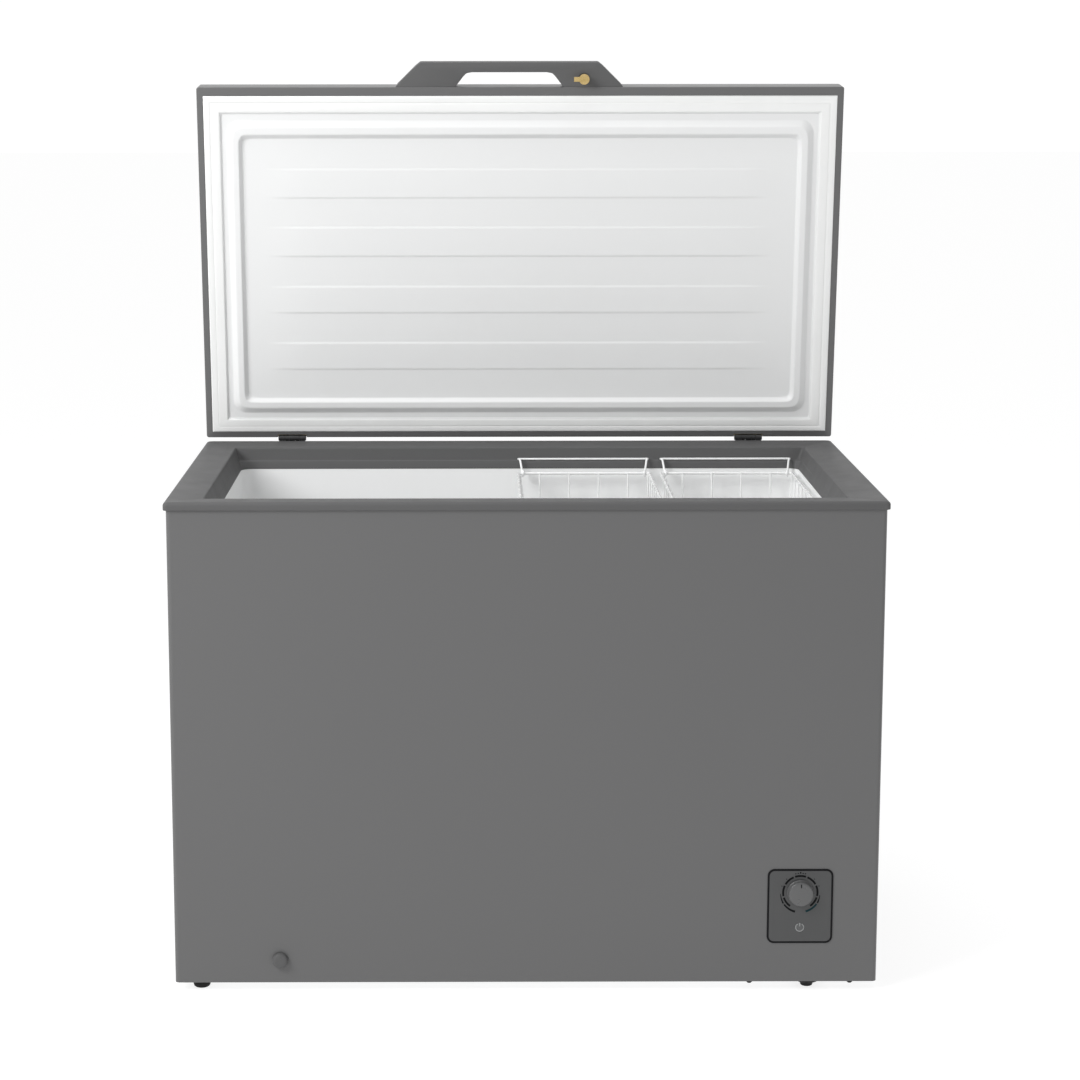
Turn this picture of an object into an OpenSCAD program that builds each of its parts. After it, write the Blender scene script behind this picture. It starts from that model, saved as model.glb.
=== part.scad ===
// Chest freezer of the 300-litre class with two hanging wire baskets, a counterbalanced lid
// and a hermetic compressor in a compartment under the right-hand end.
// Millimetres, +X right, +Y back, +Z up. Origin: middle of the footprint of the whole object
// with its lid open, at floor level.

/* [Cabinet] */
// Overall width at the rim and the lid
W = 1115; // [900:5:1400]
// Depth of the rim and the lid, front to back
D = 622; // [560:2:700]
// Height of the rim above the floor
rim_h = 785; // [700:5:860]
// Height of the feet under the body
foot_h = 15; // [10:1:25]
// How far the rim stands out beyond the body all round
rim_out = 4; // [3:0.5:8]
// Thickness of the painted sheet
sheet = 0.8; // [0.6:0.1:1.2]
// Width of the flat top of the rim
rim_flat = 57; // [50:1:64]
// Inset of the food space from the rim's outer edge
wall = 68.6; // [66:0.2:80]
// Corner radius of the food space
liner_r = 20; // [10:1:40]
// Width of the compressor compartment
comp_w = 227; // [200:1:260]
// Height of the compressor compartment's roof above the floor
comp_h = 265; // [240:1:300]

/* [Lid] */
// Angle at which the lid stands open
open_deg = 84; // [60:1:88]
// Thickness of the lid
lid_t = 58; // [45:1:70]
// Gap between the closed lid's metal edge and the rim
lid_gap = 2; // [1.5:0.1:4]
// Height of the bead round the inside of the lid
bead_h = 7.8; // [4:0.1:9]
// Distance the handle stands out from the lid's front edge
handle_out = 42; // [34:1:50]
// Diameter of the hinge barrels
barrel_d = 12; // [11:0.5:13]

/* [Controls] */
// Diameter of the temperature knob
knob_d = 42; // [34:1:48]
// Height of the knob above the bottom of the body
knob_z = 146.5; // [110:1:160]
// Distance of the control panel's middle from the freezer's middle
panel_x = 430.5; // [380:0.5:440]

/* [Baskets] */
// Width of each basket
basket_w = 235; // [180:1:240]
// Depth of each basket below its top wire
basket_h = 205; // [150:5:260]
// Thickness of the basket's thin wires
wire = 2.6; // [2:0.1:3.4]

/* [Hidden] */

y_mid = 332.71;            // middle of the footprint behind the rim's front edge
z0 = foot_h;              // underside of the body
zt = rim_h;               // top of the rim
band = 13;                // height of the rim's outer band
in1 = rim_out + sheet;    // inside of the painted sheet
xl = W/2 - wall;          // half width of the food space
yf = wall; yb = D - wall; // front and back of the food space
z_floor = 75;             // floor of the food space
z_step = 320;             // top of the step over the compressor
x_step = 270;             // left face of the step
xc = W/2 - in1 - comp_w;  // left wall of the compressor compartment
z_lip = zt - 40;          // where the liner meets the rim
hy = D + 2.1; hz = zt + 3.9;    // hinge axis
hinge_x = [-405, 409];    // middle of each hinge
pin_r = 2.5;
zl = zt + lid_gap;        // underside of the closed lid's metal edge
plug_x = -387; plug_z = z0 + 37;
px = panel_x; pz = z0 + 124; kz = z0 + knob_z;
lz = z0 + 89.5;           // power lamp
lock_x = 109; lock_y = -15;
ring_z = zt - 45;         // height of the baskets' top wire
ring_y0 = 90; ring_y1 = D - 90;
ring_r = 2.5;
bar_dy = 26; bar_dz = 21.5;     // hanger bar from the top wire's axis
basket_x = [-6 + 235/2, 244 + 235/2];

function unit(v) = v / norm(v);
function tangents(p) = [for (i = [0:len(p) - 1]) i == 0 ? unit(p[1] - p[0])
  : i == len(p) - 1 ? unit(p[i] - p[i-1]) : unit(unit(p[i] - p[i-1]) + unit(p[i+1] - p[i]))];
function flat_to(n, t) = unit(n - (n * t) * t);
function side(t) = abs(t[2]) < 0.8 ? [0, 0, 1] : [1, 0, 0];
function normals(t) = [for (i = 0, n = flat_to(side(t[0]), t[0]); i < len(t);
  i = i + 1, n = i < len(t) ? flat_to(n, t[i]) : n) n];
// a polyline with its corners rounded by parabolic arcs of reach r
function rounded(p, r, k = 4) = [p[0], for (i = [1:len(p) - 2])
  let (a = p[i-1], b = p[i], c = p[i+1], d = min(r, 0.49 * norm(a - b), 0.49 * norm(c - b)),
       s = b + d * unit(a - b), e = b + d * unit(c - b))
  for (j = [0:k]) let (u = j / k) (1-u)*(1-u)*s + 2*u*(1-u)*b + u*u*e, p[len(p) - 1]];

// a round tube or wire swept along points
module tube(p, r, m = 8) {
  t = tangents(p); n = normals(t); c = len(p);
  polyhedron(
    points = [for (i = [0:c-1]) let (b = cross(t[i], n[i])) for (k = [0:m-1])
      p[i] + r * (cos(360*k/m) * n[i] + sin(360*k/m) * b)],
    faces = concat([[for (k = [0:m-1]) k]], [[for (k = [m-1:-1:0]) (c-1)*m + k]],
      [for (i = [0:c-2]) for (k = [0:m-1])
        [i*m + k, (i+1)*m + k, (i+1)*m + (k+1) % m, i*m + (k+1) % m]]));
}

// rounded rectangle and its prism
module rr2(x0, x1, y0, y1, r) {
  translate([x0 + r, y0]) square([x1 - x0 - 2*r, y1 - y0]);
  translate([x0, y0 + r]) square([x1 - x0, y1 - y0 - 2*r]);
  for (x = [x0 + r, x1 - r], y = [y0 + r, y1 - r]) translate([x, y]) circle(r, $fn = 32);
}
module rr(x0, x1, y0, y1, a, b, r)
  translate([0, 0, a]) linear_extrude(b - a) rr2(x0, x1, y0, y1, r);
// the same, given as an inset from the rim's outline
module ri(i, a, b, r) rr(-W/2 + i, W/2 - i, i, D - i, a, b, r);
module slab(i, z, r) ri(i, z - 0.01, z + 0.01, r);
module box(x0, x1, y0, y1, a, b) translate([x0, y0, a]) cube([x1 - x0, y1 - y0, b - a]);
module cyl_y(x, z, y0, y1, r) translate([x, y1, z]) rotate([90, 0, 0]) cylinder(r = r, h = y1 - y0, $fn = 32);
module cyl_x(y, z, x0, x1, r) translate([x0, y, z]) rotate([0, 90, 0]) cylinder(r = r, h = x1 - x0, $fn = 32);
module cyl_z(x, y, a, b, r) translate([x, y, a]) cylinder(r = r, h = b - a, $fn = 32);
module place() translate([0, -y_mid, 0]) children();
module place_lid() place() translate([0, hy, hz]) rotate([-open_deg, 0, 0]) translate([0, -hy, -hz]) children();

// ---------- cabinet ----------
module skin2(i, r) {
  translate([-W/2 + i + r, i]) square([W - 2*i - 2*r, D - i - 4.8]);
  translate([-W/2 + i, i + r]) square([W - 2*i, D - i - r - 4.8]);
  for (x = [-W/2 + i + r, W/2 - i - r]) translate([x, i + r]) circle(r, $fn = 32);
}
module body2() { skin2(rim_out, 7); translate([-W/2 + rim_out, D/2]) square([W - 2*rim_out, D/2 - rim_out]); }
module outer_shell() color([0.22, 0.23, 0.24]) place() difference() {
  translate([0, 0, z0]) linear_extrude(zt - 7 - z0) difference() {
    skin2(rim_out, 7);
    skin2(in1, 6.2);
    translate([-W/2 + in1, D - 20]) square([W - 2*in1, 30]);
  }
  rr(px - 46, px + 46, -50, 50, pz - 55, pz + 55, 1);
  cyl_y(plug_x, plug_z, -5, 20, 9.2);
  box(W/2 - 20, W/2 + 20, 350, 520, 60, 200);
}
module back_panel() color([0.45, 0.46, 0.47]) place() difference() {
  box(-W/2 + in1, W/2 - in1, D - 4.8, D - 4, z0, zt - 7);
  box(xc + 14, W/2 - in1 - 14, D - 10, D + 5, 30, 250);
  for (x = [xc + 10, W/2 - in1 - 10], z = [34, 140, 246]) cyl_y(x, z, D - 10, D, 1.6);
  for (h = hinge_x, x = [-14, 14], z = [712, 752]) cyl_y(h + x, z, D - 10, D + 5, 1.7);
}
// bottom sheet, bent up and across to form the compressor compartment
module base_pan() color([0.6, 0.61, 0.62]) place() {
  translate([0, 0, z0]) linear_extrude(sheet) difference() { skin2(in1, 6.2); translate([xc + sheet, 0]) square([W, D]); }
  box(xc, xc + sheet, in1, D - 4.8, z0, comp_h);
  translate([0, 0, comp_h - sheet]) linear_extrude(sheet) difference() { skin2(in1, 6.2); translate([-W + xc, 0]) square([W, D]); }
}
module liner_out(g) {
  rr(-xl - g, xl + g, yf - g, yb + g, z_step - g, z_lip, liner_r);
  rr(-xl - g, x_step + g, yf - g, yb + g, z_floor - g, z_step + 5, liner_r);
}
module inner_liner() color([0.93, 0.94, 0.94]) place() difference() {
  liner_out(sheet);
  rr(-xl, xl, yf, yb, z_step, z_lip + 1, liner_r);
  rr(-xl, x_step, yf, yb, z_floor, z_step + 6, liner_r);
  cyl_z(plug_x, 130, z_floor - 3, z_floor + 3, 9);
}
module cabinet_foam() color([0.87, 0.80, 0.62]) place() difference() {
  translate([0, 0, z0 + sheet]) linear_extrude(zt - 7 - z0 - sheet) difference() { skin2(in1, 6.2); }
  liner_out(sheet);
  ri(50, z_lip, zt, 8);
  box(xc, W/2, 0, D, 0, comp_h);
  cyl_z(plug_x, 130, plug_z - 9, z_floor, 9);
  cyl_y(plug_x, plug_z, 0, 130, 9);
}
module top_collar() color([0.20, 0.21, 0.22]) place() difference() {
  union() { ri(0, zt - band, zt, 6); ri(50, z_lip, zt - 5, 8); }
  hull() { slab(3, zt + 0.02, 10); slab(rim_flat, zt - 3.7, 14); }
  hull() { slab(rim_flat, zt - 3.6, 14); slab(60.5, zt - 26, 16); }
  hull() { slab(66.5, zt - 25.9, 18); slab(wall, z_lip - 0.02, liner_r); }
  translate([0, 0, zt - band - 1]) linear_extrude(band - 6) difference() { body2(); rr2(-W/2 + 50, W/2 - 50, 50, D - 50, 8); }
  for (h = hinge_x) box(h - 25.5, h + 25.5, D - 4.6, D + 5, zt - 20, zt + 5);
}
module vent_grille() color([0.12, 0.12, 0.13]) place() difference() {
  union() { box(W/2 - in1 + 0, W/2 - rim_out + 1.2, 350, 520, 60, 200);
    box(W/2 - in1 - 2, W/2 - in1, 342, 528, 52, 208); }
  for (z = [72:14:188]) box(W/2 - 20, W/2 + 5, 362, 508, z - 3, z + 3);
}
module rear_cover() color([0.14, 0.14, 0.15]) place() difference() {
  box(xc + 4, W/2 - in1 - 4, D - 4, D - 2.5, 22, 258);
  for (z = [60:16:220], x = [xc + 30, xc + 120]) box(x, x + 70, D - 10, D, z - 3, z + 3);
  cyl_y(xc + 24, 40, D - 10, D, 7);
  for (x = [xc + 10, W/2 - in1 - 10], z = [34, 140, 246]) cyl_y(x, z, D - 10, D, 1.8);
}
module screw_y(x, z, y, s, r = 1.6, hr = 3.6, l = 10) {   // s = +1 head towards +Y
  cyl_y(x, z, min(y, y - s*l), max(y, y - s*l), r);
  difference() {
    cyl_y(x, z, min(y, y + s*1.8), max(y, y + s*1.8), hr);
    for (a = [0, 90]) translate([x, y + s*1.5, z]) rotate([0, a, 0]) cube([0.9, 1.6, 3.8], center = true);
  }
}
module rear_cover_screws() color("silver") place()
  for (x = [xc + 10, W/2 - in1 - 10], z = [34, 140, 246]) screw_y(x, z, D - 2.5, 1, 1.6, 3.6, 4);
module cord_gland() color([0.1, 0.1, 0.1]) place() difference() {
  union() { cyl_y(xc + 24, 40, D - 2.5, D + 8, 10); cyl_y(xc + 24, 40, D - 8, D - 2.5, 6.8); }
  cyl_y(xc + 24, 40, D - 10, D + 10, 3.6);
}

// ---------- refrigeration ----------
cond_z = [330, 420, 510, 600, 690];
module condenser_coil() color([0.72, 0.42, 0.28]) place() {
  i = in1 + 3; x = W/2 - i; y1 = D - 40;
  p = concat([[x, y1, 270.5]], [for (k = [0:4]) let (s = k % 2 == 0 ? 1 : -1)
    each [[s*x, y1, cond_z[k]], [s*x, i, cond_z[k]], [-s*x, i, cond_z[k]], [-s*x, y1, cond_z[k]]]]);
  tube(rounded(p, 22), 2.4);
}
module evaporator_coil() color([0.75, 0.45, 0.3]) place() {
  g = 3.6; x = xl + sheet + g; a = yf - sheet - g; b = yb + sheet + g;
  p = concat([[x, b - 60, 300.5]], [for (k = [0:4]) let (z = 370 + 70*k)
    each [[x, b, z], [-x, b, z + 17], [-x, a, z + 35], [x, a, z + 52]]], [[x, b - 80, 715]]);
  tube(rounded(p, 26), 2.6);
}
cx = 452; cy = 450; ct = 17;   // compressor axis and top of the tray
module compressor() color([0.08, 0.08, 0.09]) place() {
  translate([cx, cy, 0]) rotate_extrude($fn = 64) polygon(concat([[0, ct + 22], [52, ct + 22]],
    [for (a = [-60:15:0]) [52 + 18*cos(a), ct + 40 + 18*sin(a)]], [[70, ct + 92], [72.5, ct + 92], [72.5, ct + 98], [70, ct + 98]],
    [for (a = [0:15:90]) [22 + 48*cos(a), ct + 125 + 36*sin(a)]], [[0, ct + 161]]));
  difference() {
    box(cx - 85, cx + 85, cy - 62, cy + 62, ct + 19, ct + 22);
    for (x = [-72, 72], y = [-50, 50]) cyl_z(cx + x, cy + y, 0, 60, 6);
  }
  cyl_y(cx + 30, ct + 60, cy - 82, cy - 55, 4.5);
  cyl_y(cx + 18, ct + 120, cy - 78, cy - 45, 4);
  box(cx - 55, cx + 8, cy - 80, cy - 50, ct + 50, ct + 104);
}
module compressor_tray() color([0.55, 0.56, 0.57]) place() difference() {
  union() { box(xc + sheet, W/2 - in1 - 0.5, 11.5, D - 12, z0, ct);
    box(xc + sheet, W/2 - in1 - 0.5, 11.5, 13, z0, ct + 14); box(xc + sheet, W/2 - in1 - 0.5, D - 13.5, D - 12, z0, ct + 14); }
  for (x = [-72, 72], y = [-50, 50]) cyl_z(cx + x, cy + y, 0, 60, 3);
  for (x = [354, 513], y = [16.5, D - 30]) cyl_z(x, y, 0, 60, 2.2);
  for (y = [120:24:240]) box(xc + 50, xc + 180, y, y + 9, 0, 60);
}
module compressor_grommets() color([0.1, 0.1, 0.1]) place()
  for (x = [-72, 72], y = [-50, 50]) translate([cx + x, cy + y, 0]) difference() {
    union() { translate([0, 0, ct]) cylinder(r = 11, h = 19, $fn = 32);
      translate([0, 0, ct + 19]) cylinder(r = 6, h = 3, $fn = 32); translate([0, 0, ct + 22]) cylinder(r = 10, h = 4, $fn = 32); }
    cylinder(r = 3.2, h = 99, $fn = 32);
  }
module compressor_bolts() color("silver") place()
  for (x = [-72, 72], y = [-50, 50]) translate([cx + x, cy + y, 0]) {
    translate([0, 0, z0 - 4]) cylinder(r = 5.5, h = 4, $fn = 6);
    translate([0, 0, z0]) cylinder(r = 3, h = ct + 28 - z0, $fn = 32);
    translate([0, 0, ct + 26]) cylinder(r = 8, h = 1.5, $fn = 32);
    translate([0, 0, ct + 27.5]) cylinder(r = 5.5, h = 5, $fn = 6);
  }
module relay_cover() color([0.15, 0.15, 0.16]) place() difference() {
  rr(cx - 55, cx + 8, cy - 118, cy - 80, ct + 50, ct + 104, 5);
  translate([0, 0, 0]) box(cx - 52, cx + 5, cy - 115, cy - 79, ct + 53, ct + 101);
}
module filter_drier() color([0.78, 0.47, 0.3]) place() translate([xc + 34, 150, 0]) rotate_extrude($fn = 40)
  polygon([[0, 120], [2.5, 120], [2.5, 130], [9, 142], [9, 212], [3, 222], [3, 232], [0, 232]]);
module suction_tube() color([0.75, 0.45, 0.3]) place()
  tube(rounded([[cx + 30, cy - 82, ct + 60], [cx + 30, cy - 140, ct + 60], [cx + 60, cy - 190, ct + 60],
    [cx + 60, cy - 190, 230], [xl + 8, 480, 245], [xl + 8, 488, 262]], 24), 4);
module discharge_tube() color([0.75, 0.45, 0.3]) place()
  tube(rounded([[cx + 18, cy - 78, ct + 120], [cx + 18, cy - 112, ct + 120], [cx - 50, cy - 116, ct + 190],
    [W/2 - in1 - 14, cy - 60, ct + 215], [W/2 - in1 - 14, D - 60, ct + 225], [W/2 - in1 - 8, D - 40, 262]], 26), 3);
module capillary_tube() color([0.75, 0.45, 0.3]) place() {
  c = [for (i = [0:30]) [xc + 34 + 18*cos(i*30 - 30), 150 + 18*sin(i*30 - 30), 240 + i*0.6]];
  tube(concat([[xc + 34, 150, 232], [xc + 34, 150, 235], [xc + 38, 146, 238], [xc + 45, 141, 239.5]], c,
    [[xc + 36, 180, 259], [xc + 40, 200, 262], [xc + 44, 215, 263]]), 1.1, 6);
}

// ---------- controls ----------
module control_panel() color([0.16, 0.16, 0.17]) place() difference() {
  union() {
    translate([px, rim_out, pz]) rotate([90, 0, 0]) linear_extrude(1.6) rr2(-51.5, 51.5, -60.5, 60.5, 11);
    translate([px, rim_out + 14, pz]) rotate([90, 0, 0]) linear_extrude(14) difference() {
      rr2(-45, 45, -54, 54, 5); rr2(-43, 43, -52, 52, 4); }
  }
  translate([px, rim_out - 1.1, pz]) rotate([90, 0, 0]) linear_extrude(5) rr2(-48, 48, -57, 57, 9);
  cyl_y(px, kz, -10, 20, 4.6);
  cyl_y(px, lz, -10, 20, 8);
}
module thermostat() color([0.75, 0.73, 0.68]) place() difference() {
  union() { rr(px - 22, px + 22, 9, 42, kz - 20, kz + 20, 3); cyl_y(px, kz, rim_out + 0.3, 9, 7);
    box(px - 43, px + 43, 8, 9.2, kz - 8, kz + 8); }
  cyl_y(px, kz, -10, 24.5, 3.05);
}
module thermostat_shaft() color("silver") place() cyl_y(px, kz, -7, 24, 3);
module sensor_line() color([0.7, 0.45, 0.3]) place()
  tube(rounded([[px - 10, 42, kz], [px - 10, 60, kz], [xc + 20, 80, kz + 40], [xc + 12, 100, 262]], 16), 1.1, 6);
module wiring_harness() color([0.1, 0.1, 0.1]) place()
  tube(rounded([[px + 10, 42, kz - 6], [px + 10, 70, kz - 6], [W/2 - 40, 110, kz - 40], [W/2 - 36, 240, 60],
    [cx + 20, cy - 150, 70], [cx - 30, cy - 130, 90], [cx - 30, cy - 118, 90]], 22), 3);
module power_lamp() color([0.8, 0.82, 0.82]) place() { cyl_y(px, lz, rim_out - 1.4, 18, 7.9); cyl_y(px, lz, rim_out, 6, 10); }
module thermostat_knob() color([0.3, 0.3, 0.31]) place() translate([px, 2, kz]) rotate([90, 0, 0]) difference() {
  rotate_extrude($fn = 64) polygon([[0, 0], [knob_d/2, 0], [knob_d/2, 2], [knob_d/2 - 1, 3], [knob_d/2 - 1.6, 9],
    [knob_d/2 - 3.4, 10.6], [0, 11]]);
  translate([0, 0, -1]) cylinder(r = 3, h = 10, $fn = 32);
  translate([0, 12.4, 11]) cube([2.4, 9, 1.6], center = true);
}

// ---------- drain ----------
module drain_tube() color([0.85, 0.85, 0.85]) place() difference() {
  union() { cyl_z(plug_x, 130, plug_z, z_floor, 9); translate([plug_x, 130, plug_z]) sphere(9, $fn = 32);
    cyl_y(plug_x, plug_z, 2.8, 130, 9); }
  cyl_z(plug_x, 130, plug_z, z_floor + 1, 7); translate([plug_x, 130, plug_z]) sphere(7, $fn = 32);
  cyl_y(plug_x, plug_z, -1, 130, 7);
}
module drain_plug() color([0.13, 0.13, 0.14]) place() translate([plug_x, 2.4, plug_z]) rotate([90, 0, 0]) {
  rotate_extrude($fn = 48) polygon([[0, 0], [12.5, 0], [12.5, 3.6], [11.6, 5.4], [9.6, 6.8], [0, 7.6]]);
  translate([0, 0, -16]) cylinder(r = 6.6, h = 16, $fn = 32);
}
module liner_plug() color([0.8, 0.8, 0.8]) place() translate([plug_x, 130, z_floor + 0.3]) {
  rotate_extrude($fn = 48) polygon([[0, 0], [15, 0], [15, 1.6], [12, 3.6], [4, 4], [4, 9], [3, 10], [0, 10]]);
  translate([0, 0, -14]) cylinder(r = 6.6, h = 14, $fn = 32);
}

// ---------- feet ----------
module foot(x, y) rotate_extrude_at(x, y) polygon([[0, 0], [10.5, 0], [13, 3], [14, 8], [14, foot_h], [0, foot_h]]);
module rotate_extrude_at(x, y) translate([x, y, 0]) rotate_extrude($fn = 48) children();
module feet_left() color([0.07, 0.07, 0.07]) place() for (y = [30, D - 44]) foot(-514, y);
module feet_right() color([0.07, 0.07, 0.07]) place() for (y = [30, D - 44]) rotate_extrude_at(446.5, y)
  polygon([[0, 0], [9, 0], [10, 2], [10.5, 6], [19, 9], [21.5, 12], [21.5, foot_h], [0, foot_h]]);
module base_screws() color([0.2, 0.2, 0.2]) place() for (x = [354, 513], y = [16.5, D - 30]) {
  cyl_z(x, y, z0, ct + 8, 2.2); translate([x, y, 0]) rotate_extrude($fn = 32)
    polygon([[0, z0 - 6.6], [3, z0 - 6.4], [4.4, z0 - 5], [5, z0 - 2.4], [5, z0], [0, z0]]); }

// ---------- hinges ----------
br = barrel_d/2;
module hinge_base(h) color([0.06, 0.06, 0.07]) place() difference() {
  union() {
    translate([h, D - 4, 0]) rotate([90, 0, 180]) linear_extrude(2.5) rr2(-23, 23, 700, 782, 5);
    for (s = [-1, 1]) { box(h + s*18 - 5, h + s*18 + 5, D - 4, D - 1.5, 770, hz - 2);
      cyl_x(hy, hz, h + s*18 - 5, h + s*18 + 5, br); }
  }
  cyl_x(hy, hz, h - 30, h + 30, pin_r);
  for (x = [-14, 14], z = [712, 752]) cyl_y(h + x, z, D - 10, D + 5, 1.8);
}
module hinge_base_left() hinge_base(hinge_x[0]);
module hinge_base_right() hinge_base(hinge_x[1]);
module hinge_pins() color("silver") place() for (h = hinge_x) {
  cyl_x(hy, hz, h - 23, h + 23, pin_r);
  cyl_x(hy, hz, h - 24.6, h - 23, 4); cyl_x(hy, hz, h + 23, h + 24.6, 4);
}
module hinge_springs() color([0.35, 0.36, 0.38]) place() for (h = hinge_x)
  tube(concat([for (i = [0:48]) [h - 3.9 + i*7.8/48, hy + 4.1*cos(i*30), hz + 4.1*sin(i*30)]],
    [[h + 3.9, hy + 4.1, hz - 4], [h + 3.9, D + 0.2, hz - 14], [h + 3.9, D - 0.55, 760]]), 0.85, 6);
module hinge_base_screws() color("silver") place() for (h = hinge_x, x = [-14, 14], z = [712, 752])
  screw_y(h + x, z, D - 1.5, 1, 1.7, 3.6, 14);
module hinge_arm(h) color([0.06, 0.06, 0.07]) place_lid() difference() {
  union() {
    translate([h, D, 0]) rotate([90, 0, 180]) linear_extrude(2.5) rr2(-23, 23, hz + br + 0.6, hz + 46, 5);
    for (s = [-1, 1]) { box(h + s*9 - 3.5, h + s*9 + 3.5, D, D + 2.5, hz + 3, hz + 14);
      cyl_x(hy, hz, h + s*9 - 3.5, h + s*9 + 3.5, br); }
  }
  cyl_x(hy, hz, h - 30, h + 30, pin_r + 0.05);
  for (x = [-14, 14], z = [16, 34]) cyl_y(h + x, hz + z, D - 10, D + 5, 1.7);
}
module hinge_arm_left() hinge_arm(hinge_x[0]);
module hinge_arm_right() hinge_arm(hinge_x[1]);
module hinge_arm_screws() color("silver") place_lid() for (h = hinge_x, x = [-14, 14], z = [16, 34])
  screw_y(h + x, hz + z, D + 2.5, 1, 1.7, 3.4, 13);

// ---------- lid, drawn closed and then turned open ----------
module crown(g) hull() {
  ri(g, zl + g, zl + lid_t - 12, 4); ri(1.4 + g, zl + lid_t - 14, zl + lid_t - 6.2, 5);
  ri(5 + g, zl + lid_t - 14, zl + lid_t - 2.2 - g/2, 10); ri(12, zl + lid_t - 14, zl + lid_t - g, 12);
}
module hinge_notch() for (h = hinge_x) box(h - 25.5, h + 25.5, D - 5.4, D + 5, zl - 5, hz + br + 1.2);
module lid_shell() color([0.22, 0.23, 0.24]) place_lid() difference() {
  crown(0);
  crown(1.2);
  rr(-W/2 + 11, W/2 - 11, 14.8, D - 10.6, zl - 5, zl + 5, 3);
  hinge_notch();
}
module lid_foam() color([0.87, 0.80, 0.62]) place_lid() difference() {
  crown(1.2);
  box(-W/2 + 10.9, W/2 - 10.9, 14.7, D - 10.5, zl - 5, zl + 5.5);
  hinge_notch();
}
zg = zl + 2;              // gasket's upper face
zf = zl + 4;              // face of the recessed field of the lid's inner panel
module bead(o, i, a, b, c, d) hull() {   // o, i: side, front and rear insets
  rr(-W/2 + o[0], W/2 - o[0], o[1], D - o[2], a - 0.01, a, o[3]);
  rr(-W/2 + i[0], W/2 - i[0], i[1], D - i[2], b, b + 0.01, i[3]);
}
module lid_liner() color([0.94, 0.95, 0.95]) place_lid() {
  difference() {
    union() {
      rr(-W/2 + 11.2, W/2 - 11.2, 15, D - 10.8, zg, zf + 1.5, 3);
      bead([49, 56, 44, 26], [60, 67, 53, 17], zf, zf - bead_h);
    }
    difference() {
      rr(-W/2 + 40, W/2 - 40, 45, D - 34, zg - 1, zf, 2);
      bead([48.9, 55.9, 43.9, 26], [60, 67, 53, 17], zf + 0.1, zf - bead_h - 0.02);
    }
    bead([77, 89, 72, 8], [70, 79, 64, 13], zf, zf - bead_h - 0.02);
  }
  for (b = [[142, 192], [244, 295], [349, 396], [450, 498]]) rr(-425, 425, b[0], b[1], zf - 1.2, zf + 0.5, 3);
}
module lid_gasket() color([0.9, 0.91, 0.91]) place_lid() difference() {
  rr(-W/2 + 11.2, W/2 - 11.2, 15, D - 10.8, zl - 1.4, zg, 3);
  rr(-W/2 + 40, W/2 - 40, 45, D - 34, zl - 5, zg + 5, 2);
}
hm = -19;                 // middle of the handle
module lid_handle() color([0.20, 0.21, 0.22]) place_lid() difference() {
  translate([0, 0, zl + 1]) linear_extrude(26) difference() {
    union() {
      polygon([[hm - 196, 0], [hm - 161, -handle_out + 7], [hm - 154, -handle_out], [hm + 154, -handle_out],
        [hm + 161, -handle_out + 7], [hm + 196, 0]]);
    }
    polygon([[hm - 93, 1], [hm - 90, -4], [hm - 80, -17], [hm - 76, -22], [hm - 68, -25], [hm + 68, -25],
      [hm + 76, -22], [hm + 80, -17], [hm + 90, -4], [hm + 93, 1]]);
  }
  cyl_z(lock_x, lock_y, zl - 10, zl + 40, 9);
  for (x = [hm - 165, hm - 115, hm + 165], z = [zl + 14]) cyl_y(x, z, -14, 5, 1.6);
}
module handle_screws() color("silver") place_lid() for (x = [hm - 165, hm - 115, hm + 165])
  screw_y(x, zl + 14, 1.3, 1, 1.6, 3.6, 14);
module lock_housing() color([0.5, 0.5, 0.5]) place_lid() difference() {
  union() { cyl_z(lock_x, lock_y, zl - 1, zl + 27, 9); cyl_z(lock_x, lock_y, zl + 27, zl + 28.5, 11); }
  cyl_z(lock_x, lock_y, zl - 6, zl + 30, 6.1);
}
module lock_cylinder() color([0.7, 0.58, 0.3]) place_lid() difference() {
  cyl_z(lock_x, lock_y, zl - 18, zl + 28, 6.05);
  translate([lock_x, lock_y, zl + 26]) cube([7, 1.4, 12], center = true);
}
module lock_cam() color([0.72, 0.6, 0.32]) place_lid() difference() {
  translate([0, 0, zl - 17.6]) linear_extrude(2) { translate([lock_x, lock_y]) circle(9, $fn = 32);
    translate([lock_x - 17.4, lock_y - 4]) square([17.4, 8]); }
  cyl_z(lock_x, lock_y, zl - 30, zl, 6.05);
}

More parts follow.
